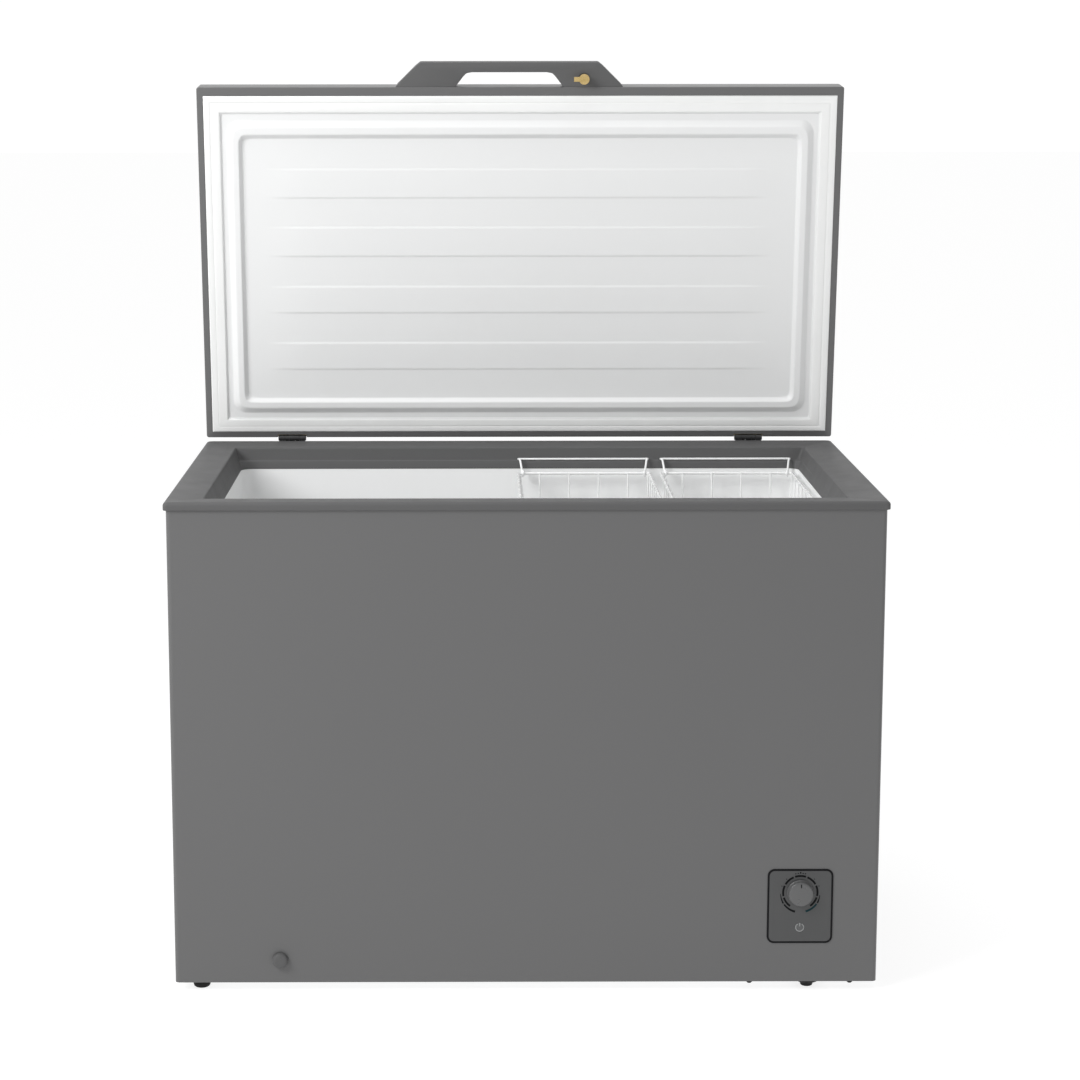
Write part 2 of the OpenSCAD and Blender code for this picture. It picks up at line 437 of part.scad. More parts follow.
// ---------- baskets ----------
module mesh(l, h, nl, nh, w) {   // flat welded grid, l by h, in the XY plane
  for (i = [0:nl]) translate([i*(l - w)/nl, 0]) square([w, h]);
  for (j = [0:nh]) translate([0, j*(h - w)/nh]) square([l, w]);
}
module basket(bc) color([0.93, 0.94, 0.94]) place() {
  x0 = bc - basket_w/2; x1 = bc + basket_w/2; zb = ring_z - basket_h; t = wire; cr = 8;
  // top wire
  for (y = [ring_y0, ring_y1]) cyl_x(y, ring_z, x0 + cr, x1 - cr, ring_r);
  for (x = [x0 + ring_r, x1 - ring_r]) cyl_y(x, ring_z, ring_y0 + cr - ring_r, ring_y1 - cr + ring_r, ring_r);
  for (s = [0, 1], u = [0, 1]) translate([s ? x1 - cr : x0 + cr, u ? ring_y1 - cr + ring_r : ring_y0 + cr - ring_r, ring_z])
    rotate([0, 0, s ? (u ? 0 : 270) : (u ? 90 : 180)])
    rotate_extrude(angle = 90, $fn = 48) translate([cr - ring_r, 0]) circle(ring_r, $fn = 24);
  // walls and bottom
  hh = ring_z - ring_r - 0.05 - zb; ll = ring_y1 - ring_y0 - 12; ww = basket_w - 12;
  for (y = [ring_y0 + 3, ring_y1 - 3 - t]) translate([x0 + 13.5, y + t, zb]) rotate([90, 0, 0]) linear_extrude(t) mesh(ww - 15, hh, 5, 4, t);
  for (x = [x0 + 2.5, x1 - 2.5 - t]) translate([x + t, ring_y0 + 6, zb]) rotate([90, 0, 90]) translate([0, 0, -t]) linear_extrude(t) mesh(ll, hh, 9, 4, t);
  translate([x0 + 6, ring_y0 + 6, zb - t]) linear_extrude(t) mesh(ww, ll, 5, 9, t);
}
module basket_left() basket(basket_x[0]);
module basket_right() basket(basket_x[1]);
// hanger: a bail hinged on the end wire; s = +1 at the back, -1 at the front
module hanger(bc, s) color([0.93, 0.94, 0.94]) place() {
  y0 = s > 0 ? ring_y1 : ring_y0; l = basket_w/2 - 10.5; e = basket_w/2 - 2;
  // half of the bail as [x, y, z] offsets from the middle of the end wire: eye, knee, bar end
  half = [[l, s*2.6, 3.5], [(l + e)/2, s*17, 22.5], [e, s*bar_dy, bar_dz]];
  bail = [for (m = [[-1, 0], [-1, 1], [-1, 2], [1, 2], [1, 1], [1, 0]])
    let (h = half[m[1]]) [bc + m[0]*h[0], y0 + h[1], ring_z + h[2]]];
  difference() {
    union() {
      for (k = [-1, 1]) cyl_x(y0, ring_z, bc + k*l - 2.7, bc + k*l + 2.7, 4.8);
      tube(rounded(bail, 5), 2, 10);
    }
    for (k = [-1, 1]) cyl_x(y0, ring_z, bc + k*l - 6, bc + k*l + 6, ring_r + 0.08);
  }
}
module hanger_left_front() hanger(basket_x[0], -1);
module hanger_left_rear() hanger(basket_x[0], 1);
module hanger_right_front() hanger(basket_x[1], -1);
module hanger_right_rear() hanger(basket_x[1], 1);

outer_shell();
back_panel();
base_pan();
inner_liner();
cabinet_foam();
top_collar();
condenser_coil();
evaporator_coil();
compressor();
compressor_tray();
compressor_grommets();
compressor_bolts();
relay_cover();
filter_drier();
suction_tube();
discharge_tube();
capillary_tube();
vent_grille();
rear_cover();
rear_cover_screws();
cord_gland();
control_panel();
thermostat();
sensor_line();
wiring_harness();
power_lamp();
drain_tube();
feet_left();
feet_right();
base_screws();
hinge_base_left();
hinge_base_right();
hinge_pins();
hinge_springs();
hinge_base_screws();
lid_shell();
lid_foam();
lid_liner();
lid_gasket();
lid_handle();
handle_screws();
hinge_arm_left();
hinge_arm_right();
hinge_arm_screws();
lock_housing();
lock_cylinder();
lock_cam();
thermostat_knob();
thermostat_shaft();
drain_plug();
liner_plug();
basket_left();
basket_right();
hanger_left_front();
hanger_left_rear();
hanger_right_front();
hanger_right_rear();
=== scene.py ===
import math

import bpy
import bmesh
import numpy as np
from mathutils import Matrix, Vector


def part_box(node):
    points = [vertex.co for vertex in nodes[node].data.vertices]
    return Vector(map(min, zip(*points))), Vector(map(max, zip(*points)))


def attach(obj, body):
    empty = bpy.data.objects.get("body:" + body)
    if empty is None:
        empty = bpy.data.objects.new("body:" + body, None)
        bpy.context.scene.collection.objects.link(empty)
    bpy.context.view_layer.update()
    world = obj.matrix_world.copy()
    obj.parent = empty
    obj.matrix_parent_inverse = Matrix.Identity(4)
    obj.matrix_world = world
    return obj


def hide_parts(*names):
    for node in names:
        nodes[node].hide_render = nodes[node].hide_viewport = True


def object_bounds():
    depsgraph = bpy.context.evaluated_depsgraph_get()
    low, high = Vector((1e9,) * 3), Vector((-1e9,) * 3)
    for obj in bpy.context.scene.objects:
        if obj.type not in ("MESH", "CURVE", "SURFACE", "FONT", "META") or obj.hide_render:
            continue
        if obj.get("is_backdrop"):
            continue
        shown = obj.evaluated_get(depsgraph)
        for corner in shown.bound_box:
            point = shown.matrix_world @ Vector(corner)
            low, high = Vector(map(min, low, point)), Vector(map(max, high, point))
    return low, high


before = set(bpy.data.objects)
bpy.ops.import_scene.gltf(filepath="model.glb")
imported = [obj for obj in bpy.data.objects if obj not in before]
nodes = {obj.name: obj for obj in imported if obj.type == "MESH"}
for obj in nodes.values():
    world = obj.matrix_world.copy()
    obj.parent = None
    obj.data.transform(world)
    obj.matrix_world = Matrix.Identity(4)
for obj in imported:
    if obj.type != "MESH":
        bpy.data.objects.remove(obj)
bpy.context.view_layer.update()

# ------------------------------------------------------------------ sizes
# Millimetres in the drawing frame: x from the middle, y back from the front edge of the rim, z from the floor.
W, D, ZT = 1115.0, 622.0, 785.0
Z0 = 15.0
YM = -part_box("top_collar")[0].y * 1000.0
HY, HZ = D + 2.1, ZT + 3.9
OPEN = math.radians(84.0)
HINGE_X = (-405.0, 409.0)
LID_T = 58.0
ZL = ZT + 2.0
ZG, ZF, BEAD = ZL + 2.0, ZL + 4.0, 7.8
WALL = 68.6
XL = W / 2 - WALL


def box_mm(node):
    lo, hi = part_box(node)
    lo, hi = np.array(lo) * 1000.0, np.array(hi) * 1000.0
    lo[1] += YM
    hi[1] += YM
    return lo, hi


def base(p):
    """Drawing frame in mm to the row frame in metres."""
    p = np.array(p, float).reshape(-1, 3)
    p[:, 1] -= YM
    return p / 1000.0


def lidx(p):
    """A point of the closed lid to its open place in the row frame."""
    p = np.array(p, float).reshape(-1, 3)
    y, z = p[:, 1] - HY, p[:, 2] - HZ
    c, s = math.cos(-OPEN), math.sin(-OPEN)
    return base(np.stack([p[:, 0], y * c - z * s + HY, y * s + z * c + HZ], 1))


# ------------------------------------------------------------------ mesh tools
class Mesh:
    def __init__(self):
        self.v, self.f, self.m = [], [], []

    def loop(self, pts):
        i = len(self.v)
        self.v.extend([tuple(map(float, p)) for p in pts])
        return list(range(i, i + len(pts)))

    def bridge(self, a, b, mat=0, closed=True):
        n = len(a)
        for k in range(n if closed else n - 1):
            self.f.append((a[k], a[(k + 1) % n], b[(k + 1) % n], b[k]))
            self.m.append(mat)

    def cap(self, a, mat=0):
        self.f.append(tuple(a))
        self.m.append(mat)

    def skin(self, loops, mat=0, wrap=False, caps=True):
        """loops: lists of points with the same count; mat: one index or one per band."""
        ids = [self.loop(l) for l in loops]
        for k in range(len(ids) - 1):
            self.bridge(ids[k], ids[k + 1], mat[k] if isinstance(mat, (list, tuple)) else mat)
        if wrap:
            self.bridge(ids[-1], ids[0], mat[-1] if isinstance(mat, (list, tuple)) else mat)
        elif caps:
            self.cap(ids[0], mat[0] if isinstance(mat, (list, tuple)) else mat)
            self.cap(ids[-1], mat[-1] if isinstance(mat, (list, tuple)) else mat)
        return ids


def rrect(x0, x1, y0, y1, r, n=8):
    """Rounded rectangle, the same number of points whatever its radius."""
    r = max(r, 0.02)
    out = []
    for cx, cy, a in ((x1 - r, y1 - r, 0), (x0 + r, y1 - r, 90), (x0 + r, y0 + r, 180), (x1 - r, y0 + r, 270)):
        for k in range(n + 1):
            t = math.radians(a + 90.0 * k / n)
            out.append((cx + r * math.cos(t), cy + r * math.sin(t)))
    return out


def inset(i, z, r, n=8):
    """Loop at an inset from the rim's outline; i is one number or (side, front, rear)."""
    s, f, b = i if isinstance(i, (list, tuple)) else (i, i, i)
    return [(x, y, z) for x, y in rrect(-W / 2 + s, W / 2 - s, f, D - b, r, n)]


def arc(cx, cy, r, a0, a1, n):
    return [(cx + r * math.cos(math.radians(a0 + (a1 - a0) * k / n)),
             cy + r * math.sin(math.radians(a0 + (a1 - a0) * k / n))) for k in range(n + 1)]


def tube(mesh, pts, r, m=12, closed=False, mat=0, ends=True):
    """Round wire swept along points, with rounded ends."""
    p = np.array(pts, float)
    c = len(p)
    if closed:
        t = np.roll(p, -1, 0) - np.roll(p, 1, 0)
    else:
        t = np.zeros_like(p)
        t[1:-1] = p[2:] - p[:-2]
        t[0], t[-1] = p[1] - p[0], p[-1] - p[-2]
    t /= np.linalg.norm(t, axis=1)[:, None]
    ref = np.array([0, 0, 1.0]) if abs(t[0][2]) < 0.8 else np.array([1.0, 0, 0])
    n = ref - t[0] * (ref @ t[0])
    n /= np.linalg.norm(n)
    ns = []
    for i in range(c):
        n = n - t[i] * (n @ t[i])
        n /= np.linalg.norm(n)
        ns.append(n.copy())
    if closed:  # take out the twist left when the frame comes round
        b = np.cross(t[0], ns[0])
        last = ns[-1] - t[0] * (ns[-1] @ t[0])
        twist = math.atan2(last @ b, last @ ns[0])
    loops = []

    def ring(i, q, rad):
        a0 = -twist * i / c if closed else 0.0
        b = np.cross(t[i], ns[i])
        return [tuple(q + rad * (math.cos(a0 + 2 * math.pi * k / m) * ns[i] + math.sin(a0 + 2 * math.pi * k / m) * b))
                for k in range(m)]
    if not closed and ends:
        for u in (80, 50, 22):
            loops.append(ring(0, p[0] - t[0] * r * (math.sin(math.radians(u)) - 0.0) * 0.6, r * math.cos(math.radians(u))))
    for i in range(c):
        loops.append(ring(i, p[i], r))
    if not closed and ends:
        for u in (22, 50, 80):
            loops.append(ring(c - 1, p[-1] + t[-1] * r * math.sin(math.radians(u)) * 0.6, r * math.cos(math.radians(u))))
    mesh.skin(loops, mat=mat, wrap=closed)


def bend(pts, r, k=6):
    """A polyline with its corners turned into arcs of reach r."""
    out = [tuple(map(float, pts[0]))]
    p = [np.array(q, float) for q in pts]
    for i in range(1, len(p) - 1):
        u, v = p[i - 1] - p[i], p[i + 1] - p[i]
        rr = r[i - 1] if isinstance(r, (list, tuple)) else r
        d = min(rr, 0.49 * np.linalg.norm(u), 0.49 * np.linalg.norm(v))
        s, e = p[i] + d * u / np.linalg.norm(u), p[i] + d * v / np.linalg.norm(v)
        for j in range(k + 1):
            w = j / k
            out.append(tuple((1 - w) ** 2 * s + 2 * w * (1 - w) * p[i] + w * w * e))
    out.append(tuple(p[-1]))
    return out


def round_poly(poly, radii, k=5):
    """Closed 2D outline with each corner rounded by its own radius."""
    n = len(poly)
    out = []
    for i in range(n):
        a, b, c = (np.array(poly[j % n], float) for j in (i - 1, i, i + 1))
        u, v = (a - b), (c - b)
        lu, lv = np.linalg.norm(u), np.linalg.norm(v)
        u, v = u / lu, v / lv
        ang = math.acos(max(-1, min(1, float(u @ v))))
        d = min(radii[i] / max(math.tan(ang / 2), 1e-6), 0.45 * lu, 0.45 * lv)
        if d < 0.05:
            out.append(tuple(b))
            continue
        s, e = b + u * d, b + v * d
        for j in range(k + 1):
            w = j / k
            out.append(tuple((1 - w) ** 2 * s + 2 * w * (1 - w) * b + w * w * e))
    return out


def make(name, mesh, where, mats, body, replaces=(), angle=32.0, smooth=True):
    """Turns a drawn mesh into a piece that rides on a CAD body."""
    co = where(mesh.v)
    me = bpy.data.meshes.new(name)
    me.from_pydata([tuple(c) for c in co], [], mesh.f)
    for m in mats:
        me.materials.append(m)
    if len(mats) > 1:
        me.polygons.foreach_set("material_index", mesh.m)
    bm = bmesh.new()
    bm.from_mesh(me)
    bmesh.ops.remove_doubles(bm, verts=bm.verts, dist=1e-7)
    bmesh.ops.recalc_face_normals(bm, faces=bm.faces)
    bm.to_mesh(me)
    bm.free()
    ob = bpy.data.objects.new(name, me)
    bpy.context.scene.collection.objects.link(ob)
    if smooth:
        shade(ob, angle)
    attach(ob, body)
    if replaces:
        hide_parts(*replaces)
    return ob


def shade(ob, angle):
    me = ob.data
    me.polygons.foreach_set("use_smooth", [True] * len(me.polygons))
    me.set_sharp_from_angle(angle=math.radians(angle))
    me.update()


def cut(ob, cutters, angle=32.0):
    """Takes boxes or drums out of a piece and keeps only the result."""
    made = []
    for c in cutters:
        me = bpy.data.meshes.new("cutter")
        me.from_pydata([tuple(p) for p in c[0]], [], c[1])
        bm = bmesh.new()
        bm.from_mesh(me)
        bmesh.ops.recalc_face_normals(bm, faces=bm.faces)
        bm.to_mesh(me)
        bm.free()
        o = bpy.data.objects.new("cutter", me)
        bpy.context.scene.collection.objects.link(o)
        mod = ob.modifiers.new("cut", "BOOLEAN")
        mod.operation, mod.object, mod.solver = "DIFFERENCE", o, "EXACT"
        made.append(o)
    bpy.context.view_layer.update()
    new = bpy.data.meshes.new_from_object(ob.evaluated_get(bpy.context.evaluated_depsgraph_get()))
    ob.modifiers.clear()
    old = ob.data
    ob.data = new
    new.name = ob.name
    bpy.data.meshes.remove(old)
    for o in made:
        me = o.data
        bpy.data.objects.remove(o)
        bpy.data.meshes.remove(me)
    shade(ob, angle)


def box_cut(x0, x1, y0, y1, z0, z1, where):
    v = [(x, y, z) for x in (x0, x1) for y in (y0, y1) for z in (z0, z1)]
    return where(v), [(0, 1, 3, 2), (4, 6, 7, 5), (0, 4, 5, 1), (2, 3, 7, 6), (0, 2, 6, 4), (1, 5, 7, 3)]


def drum_cut(c, axis, r, h0, h1, where, n=40):
    v = []
    for h in (h0, h1):
        for k in range(n):
            a = 2 * math.pi * k / n
            q = [0, 0, 0]
            q[axis] = c[axis] + h
            i, j = [m for m in range(3) if m != axis]
            q[i], q[j] = c[i] + r * math.cos(a), c[j] + r * math.sin(a)
            v.append(q)
    f = [(k, (k + 1) % n, n + (k + 1) % n, n + k) for k in range(n)]
    return where(v), f + [tuple(range(n)), tuple(range(n, 2 * n))]


# ------------------------------------------------------------------ materials
def material(name, color, rough, metal=0.0, coat=0.0, coat_rough=0.1, ior=1.5, spec=0.5, var=0.03, var_scale=6.0,
             rough_var=0.05, bump=(500.0, 0.08, 0.0001), wave=None, cells=None, stretch=None, tint=None, sheen=0.0,
             transmission=0.0, aniso=0.0):
    """A node material: large soft colour drift, fine grain in the roughness, and one or two layers of relief."""
    mat = bpy.data.materials.new(name)
    mat.use_nodes = True
    nt = mat.node_tree
    nt.nodes.clear()
    out = nt.nodes.new("ShaderNodeOutputMaterial")
    bs = nt.nodes.new("ShaderNodeBsdfPrincipled")
    nt.links.new(bs.outputs[0], out.inputs[0])
    bs.inputs["Metallic"].default_value = metal
    bs.inputs["IOR"].default_value = ior
    bs.inputs["Specular IOR Level"].default_value = spec
    bs.inputs["Coat Weight"].default_value = coat
    bs.inputs["Coat Roughness"].default_value = coat_rough
    bs.inputs["Sheen Weight"].default_value = sheen
    bs.inputs["Transmission Weight"].default_value = transmission
    bs.inputs["Anisotropic"].default_value = aniso
    tc = nt.nodes.new("ShaderNodeTexCoord")
    mp = nt.nodes.new("ShaderNodeMapping")
    nt.links.new(tc.outputs["Object"], mp.inputs[0])
    if stretch:
        mp.inputs["Scale"].default_value = stretch

    def noise(scale, detail=3.0, rough_=0.55, src=None):
        n = nt.nodes.new("ShaderNodeTexNoise")
        n.inputs["Scale"].default_value = scale
        n.inputs["Detail"].default_value = detail
        n.inputs["Roughness"].default_value = rough_
        nt.links.new((src or mp).outputs[0], n.inputs["Vector"])
        return n

    def ramp(src, lo, hi, p0=0.3, p1=0.7):
        r = nt.nodes.new("ShaderNodeValToRGB")
        r.color_ramp.elements[0].position = p0
        r.color_ramp.elements[1].position = p1
        r.color_ramp.elements[0].color = (*lo, 1)
        r.color_ramp.elements[1].color = (*hi, 1)
        nt.links.new(src, r.inputs[0])
        return r
    color = np.array(color, float)
    lo, hi = color * (1 - var), np.minimum(color * (1 + var), 1.0)
    if tint is not None:
        hi = np.array(tint, float)
    drift = noise(var_scale, 4.0)
    col = ramp(drift.outputs["Fac"], lo, hi)
    last = col.outputs[0]
    if cells:
        vo = nt.nodes.new("ShaderNodeTexVoronoi")
        vo.inputs["Scale"].default_value = cells[0]
        vo.inputs["Randomness"].default_value = 1.0
        nt.links.new(mp.outputs[0], vo.inputs["Vector"])
        hsv = nt.nodes.new("ShaderNodeSeparateColor")
        nt.links.new(vo.outputs["Color"], hsv.inputs[0])
        cr = ramp(hsv.outputs[0], color * (1 - cells[1]), np.minimum(color * (1 + cells[1]), 1.0), 0.0, 1.0)
        mx = nt.nodes.new("ShaderNodeMix")
        mx.data_type = "RGBA"
        mx.inputs[0].default_value = 0.65
        nt.links.new(last, mx.inputs[6])
        nt.links.new(cr.outputs[0], mx.inputs[7])
        last = mx.outputs[2]
    nt.links.new(last, bs.inputs["Base Color"])
    fine = noise(bump[0], 3.0, 0.6)
    mr = nt.nodes.new("ShaderNodeMapRange")
    mr.inputs["From Min"].default_value = 0.3
    mr.inputs["From Max"].default_value = 0.7
    mr.inputs["To Min"].default_value = max(0.02, rough - rough_var)
    mr.inputs["To Max"].default_value = min(1.0, rough + rough_var)
    big = noise(var_scale * 4.0, 5.0)
    nt.links.new(big.outputs["Fac"], mr.inputs["Value"])
    nt.links.new(mr.outputs[0], bs.inputs["Roughness"])
    bp = nt.nodes.new("ShaderNodeBump")
    bp.inputs["Strength"].default_value = bump[1]
    bp.inputs["Distance"].default_value = bump[2]
    nt.links.new(fine.outputs["Fac"], bp.inputs["Height"])
    end = bp
    if wave:
        wn = noise(wave[0], 2.0, 0.4)
        b2 = nt.nodes.new("ShaderNodeBump")
        b2.inputs["Strength"].default_value = wave[1]
        b2.inputs["Distance"].default_value = wave[2]
        nt.links.new(wn.outputs["Fac"], b2.inputs["Height"])
        nt.links.new(bp.outputs[0], b2.inputs["Normal"])
        end = b2
    if cells and len(cells) > 2:
        b3 = nt.nodes.new("ShaderNodeBump")
        b3.inputs["Strength"].default_value = cells[2]
        b3.inputs["Distance"].default_value = 0.0006
        nt.links.new(vo.outputs["Distance"], b3.inputs["Height"])
        nt.links.new(end.outputs[0], b3.inputs["Normal"])
        end = b3
    nt.links.new(end.outputs[0], bs.inputs["Normal"])
    return mat


GREY = (0.112, 0.112, 0.113)
M = {
    "grey_paint": material("paint_grey", GREY, 0.40, coat=0.15, coat_rough=0.30, var=0.012, var_scale=2.0,
                           rough_var=0.03, bump=(750.0, 0.10, 0.00004), wave=(90.0, 0.05, 0.0001)),
    "rim_plastic": material("plastic_rim", (0.110, 0.110, 0.111), 0.50, spec=0.10, var=0.02, var_scale=5.0, rough_var=0.05,
                            bump=(1400.0, 0.25, 0.00006), cells=(1500.0, 0.03, 0.05)),
    "white_liner": material("plastic_white", (0.90, 0.905, 0.905), 0.34, var=0.008, var_scale=3.0, rough_var=0.05,
                            bump=(260.0, 0.05, 0.00005), wave=(9.0, 0.12, 0.0012)),
    # painted shade: the lid's inner panel uses the liner's white plastic made darker (0.755 against 0.90), so that it
    # reads no brighter than the liner where the front lights fall on it
    "lid_white_painted_shade": material("plastic_white_lid_painted_shade", (0.755, 0.76, 0.76), 0.36, var=0.008, var_scale=3.0, rough_var=0.05,
                          bump=(320.0, 0.06, 0.00005), wave=(7.0, 0.10, 0.0010)),
    "white_seal": material("vinyl_seal", (0.80, 0.805, 0.80), 0.5, var=0.015, var_scale=12.0, rough_var=0.05,
                           bump=(700.0, 0.15, 0.00005), wave=(60.0, 0.08, 0.0003)),
    "foam": material("foam_cream", (0.80, 0.70, 0.48), 0.85, var=0.06, var_scale=14.0, bump=(300.0, 0.5, 0.0006),
                     cells=(420.0, 0.10, 0.4)),
    "galvanised": material("steel_galvanised", (0.56, 0.57, 0.58), 0.38, metal=1.0, var=0.05, var_scale=18.0,
                           rough_var=0.1, bump=(900.0, 0.12, 0.00004), cells=(110.0, 0.16, 0.03)),
    "steel_back": material("steel_back_coated", (0.40, 0.41, 0.42), 0.45, metal=0.6, var=0.04, var_scale=5.0,
                           rough_var=0.08, bump=(900.0, 0.12, 0.00005), cells=(70.0, 0.08, 0.02)),
    "copper": material("copper_tube", (0.72, 0.36, 0.22), 0.32, metal=1.0, var=0.12, var_scale=40.0, rough_var=0.12,
                       bump=(600.0, 0.12, 0.00008), tint=(0.86, 0.50, 0.33)),
    "black_enamel": material("enamel_black", (0.022, 0.022, 0.024), 0.30, coat=0.5, coat_rough=0.2, var=0.1,
                             var_scale=20.0, rough_var=0.08, bump=(420.0, 0.2, 0.0001)),
    "black_plastic": material("plastic_black", (0.030, 0.030, 0.031), 0.52, var=0.06, var_scale=15.0, rough_var=0.06,
                              bump=(1100.0, 0.3, 0.00008)),
    "panel_plastic": material("plastic_panel", (0.062, 0.063, 0.064), 0.45, var=0.03, var_scale=12.0, rough_var=0.05,
                              bump=(1600.0, 0.25, 0.00005)),
    "panel_edge": material("plastic_panel_edge", (0.007, 0.007, 0.008), 0.6, spec=0.12, var=0.05, var_scale=20.0, rough_var=0.05,
                           bump=(1300.0, 0.2, 0.00005)),
    "print_dark": material("print_dark", (0.006, 0.0065, 0.007), 0.7, spec=0.08, var=0.1, var_scale=60.0, rough_var=0.05,
                           bump=(1800.0, 0.2, 0.00003)),
    "print_teal": material("print_teal", (0.010, 0.034, 0.040), 0.7, spec=0.08, var=0.1, var_scale=60.0, rough_var=0.05,
                           bump=(1800.0, 0.2, 0.00003)),
    "print_light": material("print_light", (0.25, 0.255, 0.255), 0.5, spec=0.2, var=0.05, var_scale=60.0, rough_var=0.05,
                            bump=(1800.0, 0.2, 0.00003)),
    "knob_plastic": material("plastic_knob", (0.092, 0.093, 0.094), 0.30, coat=0.3, coat_rough=0.22, var=0.02,
                             var_scale=20.0, rough_var=0.05, bump=(1500.0, 0.15, 0.00004)),
    "hinge_black": material("hinge_black_coated", (0.012, 0.012, 0.013), 0.42, coat=0.2, coat_rough=0.3, var=0.1,
                            var_scale=30.0, rough_var=0.07, bump=(900.0, 0.35, 0.00008)),
    "zinc": material("zinc_screws", (0.62, 0.63, 0.64), 0.30, metal=1.0, var=0.06, var_scale=90.0, rough_var=0.1,
                     bump=(900.0, 0.15, 0.00006), tint=(0.70, 0.69, 0.62)),
    "spring_steel": material("steel_spring", (0.045, 0.045, 0.048), 0.42, metal=0.8, var=0.1, var_scale=60.0,
                             rough_var=0.1, bump=(900.0, 0.2, 0.00006)),
    "brass": material("brass_lock", (0.55, 0.40, 0.16), 0.30, metal=1.0, var=0.08, var_scale=90.0, rough_var=0.08,
                      bump=(1100.0, 0.2, 0.00005), tint=(0.66, 0.50, 0.24)),
    "rubber_black": material("rubber_black", (0.014, 0.014, 0.014), 0.72, spec=0.2, var=0.12, var_scale=30.0, rough_var=0.08,
                             bump=(700.0, 0.45, 0.00015)),
    "rubber_grey": material("rubber_grey", (0.52, 0.52, 0.52), 0.62, var=0.05, var_scale=25.0, rough_var=0.06,
                            bump=(700.0, 0.3, 0.0001)),
    "lamp_lens": material("lens_smoke", (0.060, 0.062, 0.064), 0.18, coat=0.6, coat_rough=0.08, var=0.05,
                          var_scale=60.0, rough_var=0.04, bump=(900.0, 0.05, 0.00003)),
    "clear_tube": material("tube_milky", (0.72, 0.74, 0.74), 0.35, transmission=0.35, var=0.03, var_scale=25.0,
                           rough_var=0.06, bump=(500.0, 0.1, 0.0001)),
    "white_wire": material("wire_white_coated", (0.87, 0.875, 0.875), 0.26, coat=0.35, coat_rough=0.12, var=0.02,
                           var_scale=30.0, rough_var=0.05, bump=(420.0, 0.12, 0.00012)),
    "thermo_body": material("plastic_thermostat", (0.66, 0.62, 0.54), 0.5, var=0.03, var_scale=20.0, rough_var=0.05,
                            bump=(900.0, 0.2, 0.00006)),
}

NODE_SLOT = {
    "outer_shell": "grey_paint", "back_panel": "steel_back", "base_pan": "galvanised", "inner_liner": "white_liner",
    "cabinet_foam": "foam", "top_collar": "rim_plastic", "condenser_coil": "copper", "evaporator_coil": "copper",
    "compressor": "black_enamel", "compressor_tray": "galvanised", "compressor_grommets": "rubber_black",
    "compressor_bolts": "zinc", "relay_cover": "black_plastic", "filter_drier": "copper", "suction_tube": "copper",
    "discharge_tube": "copper", "capillary_tube": "copper", "vent_grille": "black_plastic",
    "rear_cover": "black_plastic", "rear_cover_screws": "zinc", "cord_gland": "rubber_black",
    "control_panel": "panel_plastic", "thermostat": "thermo_body", "sensor_line": "copper",
    "wiring_harness": "black_plastic", "power_lamp": "lamp_lens", "drain_tube": "clear_tube",
    "feet_left": "rubber_black", "feet_right": "rubber_black", "base_screws": "rubber_black",
    "hinge_base_left": "hinge_black", "hinge_base_right": "hinge_black", "hinge_pins": "spring_steel",
    "hinge_springs": "spring_steel", "hinge_base_screws": "zinc", "lid_shell": "grey_paint", "lid_foam": "foam",
    "lid_liner": "lid_white_painted_shade", "lid_gasket": "white_seal", "lid_handle": "rim_plastic", "handle_screws": "zinc",
    "hinge_arm_left": "hinge_black", "hinge_arm_right": "hinge_black", "hinge_arm_screws": "zinc",
    "lock_housing": "black_plastic", "lock_cylinder": "brass", "lock_cam": "brass", "thermostat_knob": "knob_plastic",
    "thermostat_shaft": "zinc", "drain_plug": "rim_plastic", "liner_plug": "rubber_grey",
    "basket_left": "white_wire", "basket_right": "white_wire", "hanger_left_front": "white_wire",
    "hanger_left_rear": "white_wire", "hanger_right_front": "white_wire", "hanger_right_rear": "white_wire",
}
for name, ob in nodes.items():
    ob.data.materials.clear()
    ob.data.materials.append(M[NODE_SLOT[name]])

# ------------------------------------------------------------------ cabinet: moulded collar round the opening
sec = [(4.15, ZT - 7.2, 6.9), (4.15, ZT - 12.4, 6.9), (3.6, ZT - 13.0, 6.6), (1.4, ZT - 13.0, 6.0)]
sec += [(1.4 - 1.4 * math.sin(math.radians(a)), ZT - 11.6 - 1.4 * math.cos(math.radians(a)), 6.0) for a in (30, 60, 90)]
sec += [(5.4 - 5.4 * math.cos(math.radians(a)), ZT - 5.4 + 5.4 * math.sin(math.radians(a)), 6.0 + 1.5 * a / 90)
        for a in (0, 12, 24, 36, 48, 60, 72, 82, 90)]
sec += [(30.0, ZT - 1.75, 6.5), (53.8, ZT - 3.50, 5.0)]
sec += [(55.6, ZT - 3.72, 5.0), (56.7, ZT - 4.35, 5.0), (57.4, ZT - 5.6, 5.0), (57.7, ZT - 7.4, 5.0)]
for i, dz, r in ((60.0, 23.6, 6.0), (60.4, 25.0, 6.5), (61.2, 25.8, 7.0), (62.4, 26.1, 8.0), (65.3, 26.2, 12.0),
                 (66.3, 26.6, 14.0), (66.8, 27.8, 16.0), (68.55, 39.7, 20.0)):
    sec.append(((57.7 + 10.85 * (dz - 7.4) / 32.3, i, i), ZT - dz, r))   # the two ends are one plain bevel
sec += [(66.5, ZT - 40.0, 18.0), (50.0, ZT - 40.0, 8.0), (50.0, ZT - 8.2, 8.0), (49.0, ZT - 7.2, 8.0)]
m = Mesh()
m.skin([inset(i, z, r, 10) for i, z, r in sec], wrap=True)
collar = make("collar_moulding", m, base, [M["rim_plastic"]], "cabinet", ["top_collar"], angle=50)
cut(collar, [box_cut(h - 25.5, h + 25.5, D - 4.6, D + 5, ZT - 20, ZT + 5, base) for h in HINGE_X], angle=50)

